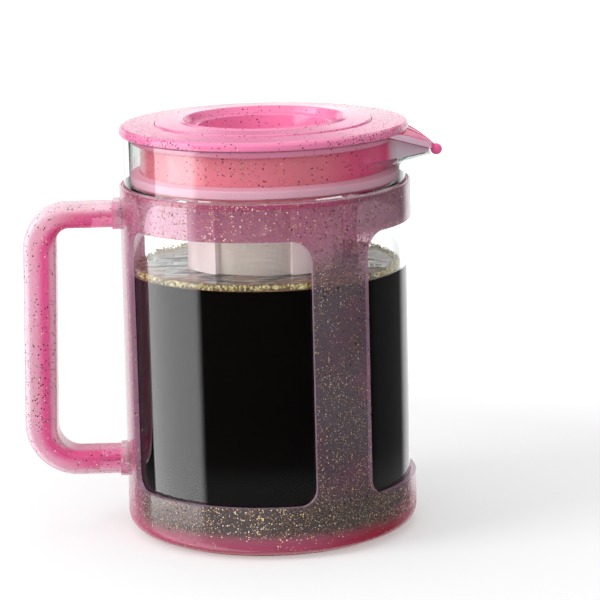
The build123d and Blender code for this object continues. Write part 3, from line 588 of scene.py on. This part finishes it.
MATERIALS = {
    "sleeve": moulded(
        "sleeve_glitter", shine=0.6, haze=0.35, clear=0.68, tint=SLEEVE_TINT,
        flakes=(0.50, 0.85, 0.85, 0.05), crowds=cup_crowded, paint=sleeve_paint,
        thin=sleeve_thin, matt_below=(0.006, 0.030),
    ),
    "handle_shell": moulded(
        "handle_glitter", shine=0.3, haze=0.2, clear=0.38, tint=HANDLE_TINT,
        flakes=(0.46, 0.8, 0.90, 0.4), paint=handle_paint,
    ),
    "handle_grip": moulded(
        "grip_pink", shine=0.3, haze=0.2, clear=0.2, tint=GRIP_TINT,
        flakes=(0.50, 0.5, 0.95, 0.5), paint=handle_paint,
    ),
    "lid_top": moulded(
        "lid_pink", LID_PINK, roughness=0.10, flakes=(0.54, 0.8, 0.85, 0.9),
        crowds=sides_crowded, dome=0.06,
    ),
    "filter_cap": moulded(
        "cap_pink", LID_PINK, roughness=0.10, flakes=(0.50, 0.4, 0.95, 0.8), dome=0.05,
    ),
    "lid_skirt": moulded(
        "skirt_pink", shine=0.35, haze=0.1, clear=0.05, tint=SKIRT_TINT,
        flakes=(0.46, 0.7, 0.95, 0.35), paint=skirt_paint,
    ),
    "pouring_beak": moulded(
        "beak_pink", shine=0.15, haze=0.1, clear=0.1, tint=BEAK_TINT, paint=beak_paint,
    ),
    "lid_gasket": soft("gasket_pink", SILICONE_PINK),
    "band_gasket": soft("band_gasket_pink", SILICONE_PINK, clear=0.4),
    "seat_pad": soft("seat_pad_pink", SILICONE_PINK),
    "foot_pad": soft("foot_red", FOOT_RED, clear=0.3),
    "handle_screws": steel("screw_steel"),
    "cap_gasket": soft("cap_gasket_pink", SILICONE_PINK),
    "filter_frame": moulded("filter_pink", FILTER_PINK, roughness=0.3),
    "filter_mesh": mesh_cloth("woven_mesh"),
    "filter_gasket": soft("filter_gasket_pink", SILICONE_PINK),
    "filter_base": moulded("base_pink", FILTER_PINK, roughness=0.3),
    "base_gasket": soft("base_gasket_pink", SILICONE_PINK),
    "glass_carafe": clear_glass("clear_glass"),
}
for node, material in MATERIALS.items():
    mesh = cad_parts[node].data
    mesh.materials.clear()
    mesh.materials.append(material)


# --- Mesh helpers. Shapes are worked out in mm, and points are handed on in metres ---
SHARP = math.radians(50)  # edges that bend more stay sharp
RING_STEPS = 240


def add_piece(name, points, faces, material, body, sharp=False):
    """A smooth mesh object that rides on a body, with or without sharp edges."""
    mesh = bpy.data.meshes.new(name)
    mesh.from_pydata(points, [], faces)
    mesh.shade_smooth()
    if sharp:
        skin = bmesh.new()
        skin.from_mesh(mesh)
        bmesh.ops.recalc_face_normals(skin, faces=skin.faces)
        skin.to_mesh(mesh)
        skin.free()
        mesh.set_sharp_from_angle(angle=SHARP)
    mesh.materials.append(material)
    piece = bpy.data.objects.new(name, mesh)
    bpy.context.scene.collection.objects.link(piece)
    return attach(piece, body)


def metres(point):
    return tuple(axis * MM for axis in point)


def turned(radius, turn, height):
    """A point at a radius, direction and height, in metres."""
    return (radius * math.cos(turn) * MM, radius * math.sin(turn) * MM, height * MM)


def circle(steps):
    """The directions of equal steps all the way round."""
    return [2 * math.pi * step / steps for step in range(steps)]


def quarter(steps):
    """The angles of equal steps through a right angle, with both ends."""
    return [math.pi / 2 * step / steps for step in range(steps + 1)]


def eased(start, end, steps):
    """Places from start to end, closer together towards the end."""
    return [start + (end - start) * math.sin(bend) for bend in quarter(steps)]


def closed_rings(rings, first, last):
    """Points and faces of a closed skin: rings of equally many points from first to last, which
    are the single points that close its two ends."""
    count = len(rings[0])
    points = [point for ring in rings for point in ring] + [first, last]
    low, high = len(points) - 2, len(points) - 1
    faces = []
    for step in range(count):
        after = (step + 1) % count
        faces.append((low, after, step))
        for row in range(len(rings) - 1):
            base = row * count
            faces.append((base + step, base + after, base + count + after, base + count + step))
        top = (len(rings) - 1) * count
        faces.append((high, top + step, top + after))
    return points, faces


def thick_sheet(outer, inner):
    """Points and faces of a closed skin between two grids of points, which are its two sides."""
    rows, columns = len(outer), len(outer[0])
    points = [point for side in (outer, inner) for row in side for point in row]

    def at(side, row, column):
        return (side * rows + row) * columns + column

    def strip(first, second):
        """The face that joins two neighbours of one side to those of the other."""
        return [at(0, *first), at(0, *second), at(1, *second), at(1, *first)]

    faces = []
    for row in range(rows - 1):
        for column in range(columns - 1):
            around = [(row, column), (row, column + 1), (row + 1, column + 1), (row + 1, column)]
            faces.append([at(0, *corner) for corner in around])
            faces.append([at(1, *corner) for corner in reversed(around)])
    for row in (0, rows - 1):
        faces += [strip((row, column), (row, column + 1)) for column in range(columns - 1)]
    for column in (0, columns - 1):
        faces += [strip((row, column), (row + 1, column)) for row in range(rows - 1)]
    return points, faces


def bubble(rings, steps):
    """Points and faces of a small ball of radius 1."""
    levels = [
        [
            (math.sin(lean) * math.cos(turn), math.sin(lean) * math.sin(turn), -math.cos(lean))
            for turn in circle(steps)
        ]
        for lean in (math.pi * row / (rings + 1) for row in range(1, rings + 1))
    ]
    return closed_rings(levels, (0, 0, -1), (0, 0, 1))


def placed(ball, centre, radius):
    """The points of a ball, in metres."""
    return [metres(centre[axis] + radius * point[axis] for axis in range(3)) for point in ball]


# --- The glass, in mm ---
GLASS_R = 58.4
GLASS_WALL = 2.5
GLASS_BOTTOM = 7.5
GLASS_FLOOR = 11.0
GLASS_CORNER = 8.0
GLASS_RIM = 167.2
GLASS_INNER_R = GLASS_R - GLASS_WALL
CORNER_STEPS = 8
WALL_HEIGHTS = (40.0, 80.0, 120.0)
WALL_END = 0.6  # how far under the lip the straight wall ends
LIP_SLOPE_X = 50.0  # from here the rim falls towards the lip's tip
LIP_SLOPE = 0.477
OUTER_LIP = {"start": 149.5, "tip": 69.5, "depth": 6.4, "nose": 3.5, "wall": GLASS_R}
INNER_LIP = {"start": 150.0, "tip": 68.8, "depth": 6.5, "nose": 2.8, "wall": GLASS_INNER_R}
LIP_SINK = 1.5  # how far inside the wall the lip's flanks are tangent
LIP_STEPS = 24
RIM_ROUND = 0.45
RIM_STEPS = 8
RIM_ROWS = (0.25, 0.5, 0.75, 1.0)
GLASS_TURNS = ((0.0, 0.5, 12), (6.0, 1.0, 30), (36.0, 2.0, 72))  # from, step and count


def lip_radius(turn, height, lip):
    """Radius of the wall at a direction and height, with the V-shaped lip swept out of it."""
    if height <= lip["start"]:
        return lip["wall"]
    rise = math.asin(min(1.0, (height - lip["start"]) / lip["depth"]))
    tip = lip["tip"] - (lip["tip"] - lip["wall"]) * math.cos(rise)
    tangent_r = lip["wall"] - LIP_SINK
    nose = lip["nose"]
    centre = tip - nose
    flank = math.acos(min(1.0, (tangent_r - nose) / centre))
    turn = abs(turn)
    if turn >= flank:
        return lip["wall"]
    if turn <= math.atan2(nose * math.sin(flank), centre + nose * math.cos(flank)):
        reach = centre * math.cos(turn) + math.sqrt(nose ** 2 - (centre * math.sin(turn)) ** 2)
    else:
        reach = tangent_r / math.cos(turn - flank)
    return max(lip["wall"], reach)


def sloped_rim(x):
    """Height of the glass's rim, which falls towards the tip of the lip."""
    return GLASS_RIM - LIP_SLOPE * max(0.0, x - LIP_SLOPE_X)


def glass_turns():
    """Directions round the glass, closer together at the lip and at its nose."""
    half = [start + gap * step for start, gap, count in GLASS_TURNS for step in range(count)]
    both = half + [180.0] + [-turn for turn in reversed(half[1:])]
    return [math.radians(turn) for turn in both]


def glass_side(lip, corner, bottom, rim_round):
    """Rings of one side of the glass, from its floor up to just under the rim's rounding."""
    turns = glass_turns()
    rings = []
    for bend in quarter(CORNER_STEPS):
        radius = lip["wall"] - corner + corner * math.sin(bend)
        height = bottom + corner - corner * math.cos(bend)
        rings.append([(radius, turn, height) for turn in turns])
    for height in (*WALL_HEIGHTS, lip["start"] - WALL_END):
        rings.append([(lip["wall"], turn, height) for turn in turns])
    keel = lip["start"] + lip["depth"]
    for height in eased(lip["start"], keel, LIP_STEPS):
        rings.append([(lip_radius(turn, height, lip), turn, height) for turn in turns])
    for share in RIM_ROWS:
        ring = []
        for turn in turns:
            radius = lip_radius(turn, GLASS_RIM, lip)
            top = sloped_rim(radius * math.cos(turn)) - rim_round(turn)
            ring.append((radius, turn, keel + share * (top - keel)))
        rings.append(ring)
    return rings


def make_glass():
    """The jug's glass: one closed skin with a heavy floor, a rounded rim and the lip."""
    def rim_round(turn):
        outer, inner = (lip_radius(turn, GLASS_RIM, lip) for lip in (OUTER_LIP, INNER_LIP))
        return min(0.5 * min(outer - inner, GLASS_WALL), RIM_ROUND)

    outer = glass_side(OUTER_LIP, GLASS_CORNER, GLASS_BOTTOM, rim_round)
    inner = glass_side(INNER_LIP, GLASS_CORNER - GLASS_WALL, GLASS_FLOOR, rim_round)
    rim = []
    for step in range(1, RIM_STEPS):
        bend = math.pi * step / RIM_STEPS
        ring = []
        for (out_r, turn, out_z), (in_r, _, in_z) in zip(outer[-1], inner[-1]):
            middle, reach = (out_r + in_r) / 2, (out_r - in_r) / 2
            share = (1 + math.cos(bend)) / 2
            height = in_z + share * (out_z - in_z) + rim_round(turn) * math.sin(bend)
            ring.append((middle + reach * math.cos(bend), turn, height))
        rim.append(ring)
    rings = [[turned(*point) for point in ring] for ring in outer + rim + inner[::-1]]
    points, faces = closed_rings(rings, (0, 0, GLASS_BOTTOM * MM), (0, 0, GLASS_FLOOR * MM))
    piece = add_piece("glass", points, faces, MATERIALS["glass_carafe"], "carafe")
    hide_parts("glass_carafe")


make_glass()


# --- The pouring beak and the lid's collar, in mm ---
HOOD_FROM, HOOD_TO = 50.0, 70.95
HOOD_STATIONS = 24
HOOD_TANGENT_R = 59.0
HOOD_NOSE = 2.0
HOOD_APEX = 71.0
HOOD_WALL = 1.4
HOOD_OVER_RIM = 0.5
HOOD_LEAST = 0.05  # half width left at the very nose
HOOD_NARROW = 12  # below this half width the crown, ribs and flutes shrink
HOOD_ARC = ((51.6, 170.0), (61.9, 166.2), (71.2, 159.6))  # points of the crest, as (x, z)
HOOD_CROWN = 2.0  # how far the roof's edges lie under its crest
HOOD_CURVE = 2.2  # the power by which the roof falls to them
HOOD_RIBS = (-0.93, -0.34, 0.30, 0.93)  # as shares of the half width
RIB_WIDTH = 0.045
RIB_H = 0.4
ROOF_STEPS = 40  # in each half of the roof
FLANK_STEPS = 18
FLUTE = 0.25  # how far the three flutes of a flank stand out
BEAD_AT = (71.4, 0.0, 157.7)
BEAD_R = 2.4
TROUGH_LIP = {"start": 150.4, "tip": 68.3, "run": 13.2, "depth": 6.4, "nose": 2.4}
TROUGH_KEEL = TROUGH_LIP["start"] + TROUGH_LIP["depth"]
TROUGH_FROM = 152.2  # just over the gasket
TROUGH_UNDER_ROOF = 0.5
TROUGH_TANGENT_R = 51.2
TROUGH_WALL = 1.2
TROUGH_ROWS = (0.3, 0.6, 1.0)  # above the keel, as shares of the way to the roof
TROUGH_SIDE_STEPS, TROUGH_NOSE_STEPS, TROUGH_KEEL_STEPS = 10, 8, 10
KEEL_ROUND = 0.8
KEEL_LIFT = 0.3
KEEL_STEPS, KEEL_SIDES = 14, 12
COLLAR_PROFILE = (
    (51.4, 163.6), (54.0, 163.9), (55.2, 164.6), (55.5, 165.6), (55.5, 167.45), (51.4, 167.45),
)


def hood_crest(x):
    """Height of the roof's crest: level inside the flange, then through HOOD_ARC."""
    (a, high), (b, middle), (c, low) = HOOD_ARC
    x = max(x, a)
    return (
        high * (x - b) * (x - c) / ((a - b) * (a - c))
        + middle * (x - a) * (x - c) / ((b - a) * (b - c))
        + low * (x - a) * (x - b) / ((c - a) * (c - b))
    )


def hood_half_width(x):
    """Half the width of the hood: straight flanks, tangent to the flange, and a round nose."""
    centre = HOOD_APEX - HOOD_NOSE
    flank = math.acos((HOOD_TANGENT_R - HOOD_NOSE) / centre)
    if x > centre + HOOD_NOSE * math.cos(flank):
        return math.sqrt(max(0.0, HOOD_NOSE ** 2 - (x - centre) ** 2)) + HOOD_LEAST
    return (HOOD_TANGENT_R - x * math.cos(flank)) / math.sin(flank)


def hood_section(x, inset):
    """One section across the hood: up the near flank, over the ribbed roof, down the far one.
    The inner side, which has an inset, is plain."""
    outside = hood_half_width(x)
    half = max(outside - inset, 0.3 * outside)
    crest = hood_crest(x) - inset
    foot = sloped_rim(x) + HOOD_OVER_RIM
    narrow = min(1.0, outside / HOOD_NARROW)
    roof = []
    for step in range(2 * ROOF_STEPS + 1):
        share = -1 + step / ROOF_STEPS
        height = crest - HOOD_CROWN * narrow * abs(share) ** HOOD_CURVE
        if not inset:
            ribs = (math.exp(-((share - rib) / RIB_WIDTH) ** 2) for rib in HOOD_RIBS)
            height += RIB_H * narrow * sum(ribs)
        roof.append((x, share * half, max(height, foot)))
    eaves = roof[0][2]
    flank = []
    for step in range(FLANK_STEPS):
        share = step / FLANK_STEPS
        flute = 0.0 if inset else FLUTE * narrow * math.sin(3 * math.pi * share) ** 2
        flank.append((x, half + flute, foot + (eaves - foot) * share))
    near = [(x, -y, z) for x, y, z in flank]
    return [metres(point) for point in near + roof + flank[::-1]]


def trough_row(height, inset):
    """Plan of the trough at a height, from the skirt round its nose and back to the skirt."""
    lip = TROUGH_LIP
    rise = math.asin(min(1.0, (height - lip["start"]) / lip["depth"]))
    apex = lip["tip"] - lip["run"] * math.cos(rise) - inset
    nose = lip["nose"] - inset
    wall = TROUGH_TANGENT_R - inset
    centre = apex - nose
    flank = math.acos((wall - nose) / centre)
    wide = (wall * math.cos(flank), wall * math.sin(flank))
    narrow = (centre + nose * math.cos(flank), nose * math.sin(flank))
    half = [
        tuple(a + (b - a) * step / TROUGH_SIDE_STEPS for a, b in zip(wide, narrow))
        for step in range(TROUGH_SIDE_STEPS + 1)
    ]
    for step in range(1, TROUGH_NOSE_STEPS + 1):
        turn = flank * (1 - step / TROUGH_NOSE_STEPS)
        half.append((centre + nose * math.cos(turn), nose * math.sin(turn)))
    return [(x, -y) for x, y in half] + half[-2::-1]


def trough_side(inset):
    """One side of the trough's wall, from the gasket up to the roof."""
    heights = eased(TROUGH_FROM, TROUGH_KEEL, TROUGH_KEEL_STEPS)
    rows = [[(x, y, height) for x, y in trough_row(height, inset)] for height in heights]
    under = HOOD_CROWN + TROUGH_UNDER_ROOF
    for share in TROUGH_ROWS:
        rows.append([
            (x, y, TROUGH_KEEL + share * (hood_crest(x) - under - TROUGH_KEEL))
            for x, y in trough_row(TROUGH_KEEL, inset)
        ])
    return [[metres(point) for point in row] for row in rows]


def keel_rib():
    """Points and faces of the round rib along the trough's keel, from the gasket to the nose."""
    lip = TROUGH_LIP
    rings = []
    for height in eased(TROUGH_FROM, TROUGH_KEEL, KEEL_STEPS):
        rise = math.asin(min(1.0, (height - lip["start"]) / lip["depth"]))
        reach = lip["tip"] - lip["run"] * math.cos(rise) - TROUGH_WALL - 0.5 * KEEL_ROUND
        lean = math.atan2(lip["depth"] * math.cos(rise), lip["run"] * math.sin(rise) + 1e-6)
        rings.append([
            metres((
                reach - KEEL_ROUND * math.cos(turn) * math.sin(lean),
                KEEL_ROUND * math.sin(turn),
                height + KEEL_LIFT + KEEL_ROUND * math.cos(turn) * math.cos(lean),
            ))
            for turn in circle(KEEL_SIDES)
        ])
    ends = (
        tuple(sum(point[axis] for point in ring) / KEEL_SIDES for axis in range(3))
        for ring in (rings[0], rings[-1])
    )
    return closed_rings(rings, *ends)


def make_beak():
    """The beak: a ribbed hood with the bead on its nose, the trough that fills the glass's lip,
    and the rib along the trough's keel."""
    stations = eased(HOOD_FROM, HOOD_TO, HOOD_STATIONS)
    hood, hood_faces = thick_sheet(*(
        [hood_section(x, inset) for x in stations] for inset in (0.0, HOOD_WALL)
    ))
    ball, ball_faces = bubble(14, 28)
    points = hood + placed(ball, BEAD_AT, BEAD_R)
    faces = hood_faces + [[len(hood) + index for index in face] for face in ball_faces]
    piece = add_piece("beak", points, faces, MATERIALS["pouring_beak"], "lid", sharp=True)
    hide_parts("pouring_beak")
    trough = thick_sheet(*(trough_side(inset) for inset in (0.0, TROUGH_WALL)))
    pale = moulded("trough_pink", haze=0.05, clear=0.05, tint=TROUGH_TINT, paint=trough_paint)
    add_piece("beak_trough", *trough, pale, "lid", sharp=True)
    deep = moulded("keel_pink", RIB_PINK, haze=0.3, clear=0.15, tint=RIB_TINT)
    add_piece("beak_keel", *keel_rib(), deep, "lid")


def make_collar():
    """The step where the skirt meets the flange: a ring, turned from a closed profile."""
    points = [turned(r, turn, z) for turn in circle(RING_STEPS) for r, z in COLLAR_PROFILE]
    count = len(COLLAR_PROFILE)
    faces = []
    for step in range(RING_STEPS):
        here, there = step * count, (step + 1) % RING_STEPS * count
        for corner in range(count):
            after = (corner + 1) % count
            faces.append((here + corner, here + after, there + after, there + corner))
    pale = moulded("collar_pink", COLLAR_PINK, haze=0.1, flakes=(0.40, 0.4, 0.95, 0.5))
    add_piece("lid_collar", points, faces, pale, "lid", sharp=True)


make_beak()
make_collar()


# --- Contents: coffee and its foam, in mm ---
COFFEE_BLACK = (0.0030, 0.0024, 0.0022)
FILM_BROWN = srgb(120, 78, 44)
FOAM_CREAM = srgb(250, 242, 190)
FOAM_TINTS = ((0.0, srgb(66, 58, 12)), (0.45, srgb(205, 180, 70)), (1.0, FOAM_CREAM))
COFFEE_TOP = 112.5
COFFEE_OVERLAP = 0.25  # into the glass, so that no air shows between the two
FOAM_LOW = 110.7  # where the coffee meets the glass, under the foam
COFFEE_HEIGHTS = (30, 55, 80, 100, FOAM_LOW - 0.6, FOAM_LOW)
COFFEE_TOP_RINGS = (42, 34, 26, 18, 10, 3)
FOAM_HIGH = 113.5
FOAM_DIP = ((0.9, 0.1), (2.4, 0.9))  # from the wall in, and up from FOAM_LOW
FOAM_RISE = ((4.5, -0.2), (6.5, 0.0))  # from the wall in, and up from COFFEE_TOP
FILM_EDGE = (0.030, 0.053)  # metres from the axis
FILM_MORE = (-0.05, 0.22)
FILM_CLOUDS = (0.52, 0.66)
SURFACE_FACES = (0.3, 0.6)  # faces that look up
BUBBLES = 2100
BUBBLE_R = 0.32
BUBBLE_MORE_R, RIPPLE_MORE_R = 0.22, 0.16
COARSE_R = (0.75, 1.35)
COARSE_SHARE, COARSE_IN_RIPPLE = 0.035, 0.05
COARSE_FROM_R = 0.6  # bubbles over this radius get the finer mesh
FOAM_WIDTH = 3.2
FOAM_WAVES = (5, 9, 13)  # round the glass


def coffee_material():
    """Black where it wets the glass, and a rippled mirror with a thin brown film on top."""
    nodes = Nodes("coffee")
    side = nodes.add("BsdfPrincipled", {
        "Base Color": COFFEE_BLACK, "Roughness": 0.3, "Specular IOR Level": 0.0,
    })
    waves = nodes.noise(scale=70.0, detail=2.0)
    bump = nodes.add("Bump", {"Height": waves, "Strength": 0.6, "Distance": 0.006})
    far = nodes.vector("LENGTH", nodes.vector("MULTIPLY", nodes.place(), (1, 1, 0)))
    patch = nodes.math(
        "ADD", nodes.noise(scale=55.0, detail=5.0), nodes.graded(far, *FILM_EDGE, *FILM_MORE),
    )
    film = nodes.rise(patch, *FILM_CLOUDS)
    top = nodes.add("BsdfPrincipled", {
        "Base Color": nodes.blend(film, COFFEE_BLACK, FILM_BROWN),
        "Roughness": nodes.between(film, 0.02, 0.22), "IOR": 1.33, "Normal": bump.outputs[0],
    })
    return nodes.finish(nodes.mix(nodes.rise(nodes.up(), *SURFACE_FACES), side, top))


def foam_material():
    """Wet bubbles, olive to gold, with a bright cream one here and there."""
    nodes = Nodes("foam")
    tint = banded(nodes, nodes.geometry("Random Per Island"), FOAM_TINTS, "LINEAR")
    body = nodes.add("BsdfPrincipled", {
        "Base Color": tint, "Roughness": 0.04, "IOR": 1.33, "Transmission Weight": 0.3,
        "Coat Weight": 1.0, "Coat Roughness": 0.02,
    })
    return nodes.finish(nodes.mix(0.12, body, nodes.clear(FOAM_CREAM)))


def make_coffee():
    """The coffee fills the glass, and dips at the wall where the foam floats."""
    corner = GLASS_CORNER - GLASS_WALL
    wall = GLASS_INNER_R + COFFEE_OVERLAP
    low = GLASS_FLOOR - COFFEE_OVERLAP
    profile = [
        (wall - corner + corner * math.sin(bend), low + corner - corner * math.cos(bend))
        for bend in quarter(CORNER_STEPS)
    ]
    profile += [(wall, height) for height in COFFEE_HEIGHTS]
    profile += [(wall - inward, FOAM_LOW + up) for inward, up in FOAM_DIP]
    profile += [(wall - inward, COFFEE_TOP + up) for inward, up in FOAM_RISE]
    profile += [(radius, COFFEE_TOP) for radius in COFFEE_TOP_RINGS]
    rings = [
        [turned(radius, turn, height) for turn in circle(RING_STEPS)]
        for radius, height in profile
    ]
    skin = closed_rings(rings, (0, 0, low * MM), (0, 0, COFFEE_TOP * MM))
    add_piece("coffee", *skin, coffee_material(), "carafe")


def make_foam():
    """A ring of bubbles against the glass: a fine froth with coarse bubbles in places."""
    random.seed(11)
    fine, coarse = bubble(4, 8), bubble(7, 14)
    points, faces = [], []
    phases = [random.uniform(0, 2 * math.pi) for _ in FOAM_WAVES]
    for _ in range(BUBBLES):
        turn = random.uniform(0, 2 * math.pi)
        waves = (math.sin(count * turn + phase) for count, phase in zip(FOAM_WAVES, phases))
        ripple = sum(waves) / len(FOAM_WAVES)
        high_wave = max(0.0, ripple)
        radius = BUBBLE_R + BUBBLE_MORE_R * random.random() + RIPPLE_MORE_R * high_wave
        if random.random() < COARSE_SHARE + COARSE_IN_RIPPLE * high_wave:
            radius = random.uniform(*COARSE_R)
        inward = random.random() ** 1.6 * FOAM_WIDTH
        low = FOAM_LOW + radius * 0.5 + 0.25 * inward
        high = FOAM_HIGH - 0.45 * inward - radius + 0.35 * ripple
        height = random.uniform(low, max(high, FOAM_LOW + 0.6))
        reach = GLASS_INNER_R - 0.05 - radius - inward
        centre = (reach * math.cos(turn), reach * math.sin(turn), height)
        shape, shape_faces = coarse if radius > COARSE_FROM_R else fine
        base = len(points)
        points += placed(shape, centre, radius)
        faces += [tuple(base + index for index in face) for face in shape_faces]
    add_piece("foam", points, faces, foam_material(), "carafe")


make_coffee()
make_foam()


# --- Studio ---
FLOOR_SIZE = 16.0
FLOOR_GREY = (0.60, 0.60, 0.60)
FLOOR_GLOW = (0.20, 0.75, 0.37, 1.0)  # from and to, in metres, and how bright there
FILL = 1.0  # even light from all round
FILL_RIGHT = 0.72  # and what is left of it on the right
FILL_ZONE = (-0.3, 0.7)  # along x
SEEN_WHITE = 1.25  # the white background, as the camera sees it
WORLD_GREY = (0.8, 0.8, 0.8)
# What reflections see, by direction. Turns go from -Y towards -X, and heights are sines.
DARK_ROOM = 0.02
BACK_WALL = 1.5  # behind and above the object
BACK_TURNS = (math.radians(136), math.radians(150))
BACK_HEIGHTS = (0.35, 0.24)
ABOVE_HEIGHTS = (0.38, 0.62)
TABLE = 0.25  # in front of the object
TABLE_HEIGHTS = (-0.245, -0.31)
RIGHT_WALL = 0.15
RIGHT_TURNS = (math.radians(-88), math.radians(-100))
SOFTBOX = 5.0  # left of the camera
SOFTBOX_FROM, SOFTBOX_TO = math.radians(59), math.radians(114)
SOFTBOX_LEAN = 0.25  # how far its far edge stands in higher up, in radians
SOFTBOX_LEAN_HEIGHTS = (-0.185, -0.165)
SOFTBOX_TOP = (0.85, 0.55)
LAMP_AIM = (0, 0, 0.09)
LAMPS = (  # name, place, aim, width, height and watts
    ("key", (-0.85, -0.40, 0.60), LAMP_AIM, 0.5, 0.8, 6.5),
    ("front", (-0.25, -1.5, 0.55), LAMP_AIM, 0.8, 0.6, 2.8),
    ("top", (0.0, 0.1, 1.2), (0, 0, 0.1), 0.9, 0.9, 2.0),
)


def seen_directly(nodes):
    """1 for what the camera sees, also through glass."""
    path = nodes.add("LightPath").outputs
    return nodes.math("MAXIMUM", path["Is Camera Ray"], path["Is Transmission Ray"])


def make_floor():
    """A white sweep of floor that keeps the object's shadow. Reflections see the studio instead."""
    bpy.ops.mesh.primitive_plane_add(size=FLOOR_SIZE, location=(0, 0, 0))
    floor = bpy.context.object
    floor.name = "floor"
    floor.visible_glossy = False
    nodes = Nodes("floor_white")
    matt = nodes.add("BsdfDiffuse", {"Color": FLOOR_GREY})
    level = nodes.graded(nodes.vector("LENGTH", nodes.place()), *FLOOR_GLOW)
    glow = nodes.add("Emission", {"Strength": nodes.product(seen_directly(nodes), level)})
    nodes.finish(nodes.add("AddShader", {0: matt.outputs[0], 1: glow.outputs[0]}))
    floor.data.materials.append(nodes.material)


def make_world():
    """White studio: an even fill, and for reflections a tall softbox on the left, white behind
    the object and above it, and a dark room on the camera's side."""
    nodes = Nodes("studio", world=True)
    bpy.context.scene.world = nodes.material
    x, y, z = nodes.axes(nodes.add("TexCoord").outputs["Generated"])
    turn = nodes.math("ARCTAN2", nodes.product(x, -1), nodes.product(y, -1))
    inside = nodes.rise(turn, SOFTBOX_FROM - 0.08, SOFTBOX_FROM + 0.06)
    lean = nodes.rise(z, *SOFTBOX_LEAN_HEIGHTS)
    lean = nodes.math("MULTIPLY_ADD", lean, SOFTBOX_LEAN, turn)
    beyond = nodes.rise(lean, SOFTBOX_TO - 0.02, SOFTBOX_TO + 0.02)
    box = nodes.product(nodes.math("SUBTRACT", inside, beyond), nodes.rise(z, *SOFTBOX_TOP))
    behind = nodes.rise(nodes.math("ABSOLUTE", turn), *BACK_TURNS)
    behind = nodes.product(behind, nodes.rise(z, *BACK_HEIGHTS))
    white = nodes.math("MAXIMUM", behind, nodes.rise(z, *ABOVE_HEIGHTS))
    mirrored = DARK_ROOM
    for part, strength in (
        (white, BACK_WALL), (nodes.rise(z, *TABLE_HEIGHTS), TABLE),
        (nodes.rise(turn, *RIGHT_TURNS), RIGHT_WALL), (box, SOFTBOX),
    ):
        mirrored = nodes.math("MULTIPLY_ADD", part, strength, mirrored)
    fill = nodes.graded(x, *FILL_ZONE, FILL, FILL_RIGHT)
    glossy = nodes.add("LightPath").outputs["Is Glossy Ray"]
    level = nodes.add("Mix", {0: glossy, 2: fill, 3: mirrored}).outputs[0]
    level = nodes.add("Mix", {0: seen_directly(nodes), 2: level, 3: SEEN_WHITE}).outputs[0]
    nodes.finish(nodes.add("Background", {"Color": WORLD_GREY, "Strength": level}))


def make_lamp(name, place, aim, width, height, watts):
    """A soft rectangular lamp that faces aim. Reflections show the studio's own softbox."""
    lamp = bpy.data.lights.new(name, "AREA")
    lamp.shape = "RECTANGLE"
    lamp.size = width
    lamp.size_y = height
    lamp.energy = watts
    holder = bpy.data.objects.new(name, lamp)
    holder.location = place
    holder.rotation_euler = (Vector(aim) - Vector(place)).to_track_quat("-Z", "Y").to_euler()
    holder.visible_glossy = False
    bpy.context.scene.collection.objects.link(holder)


make_floor()
make_world()
for lamp in LAMPS:
    make_lamp(*lamp)
bpy.context.scene.view_settings.view_transform = "Standard"
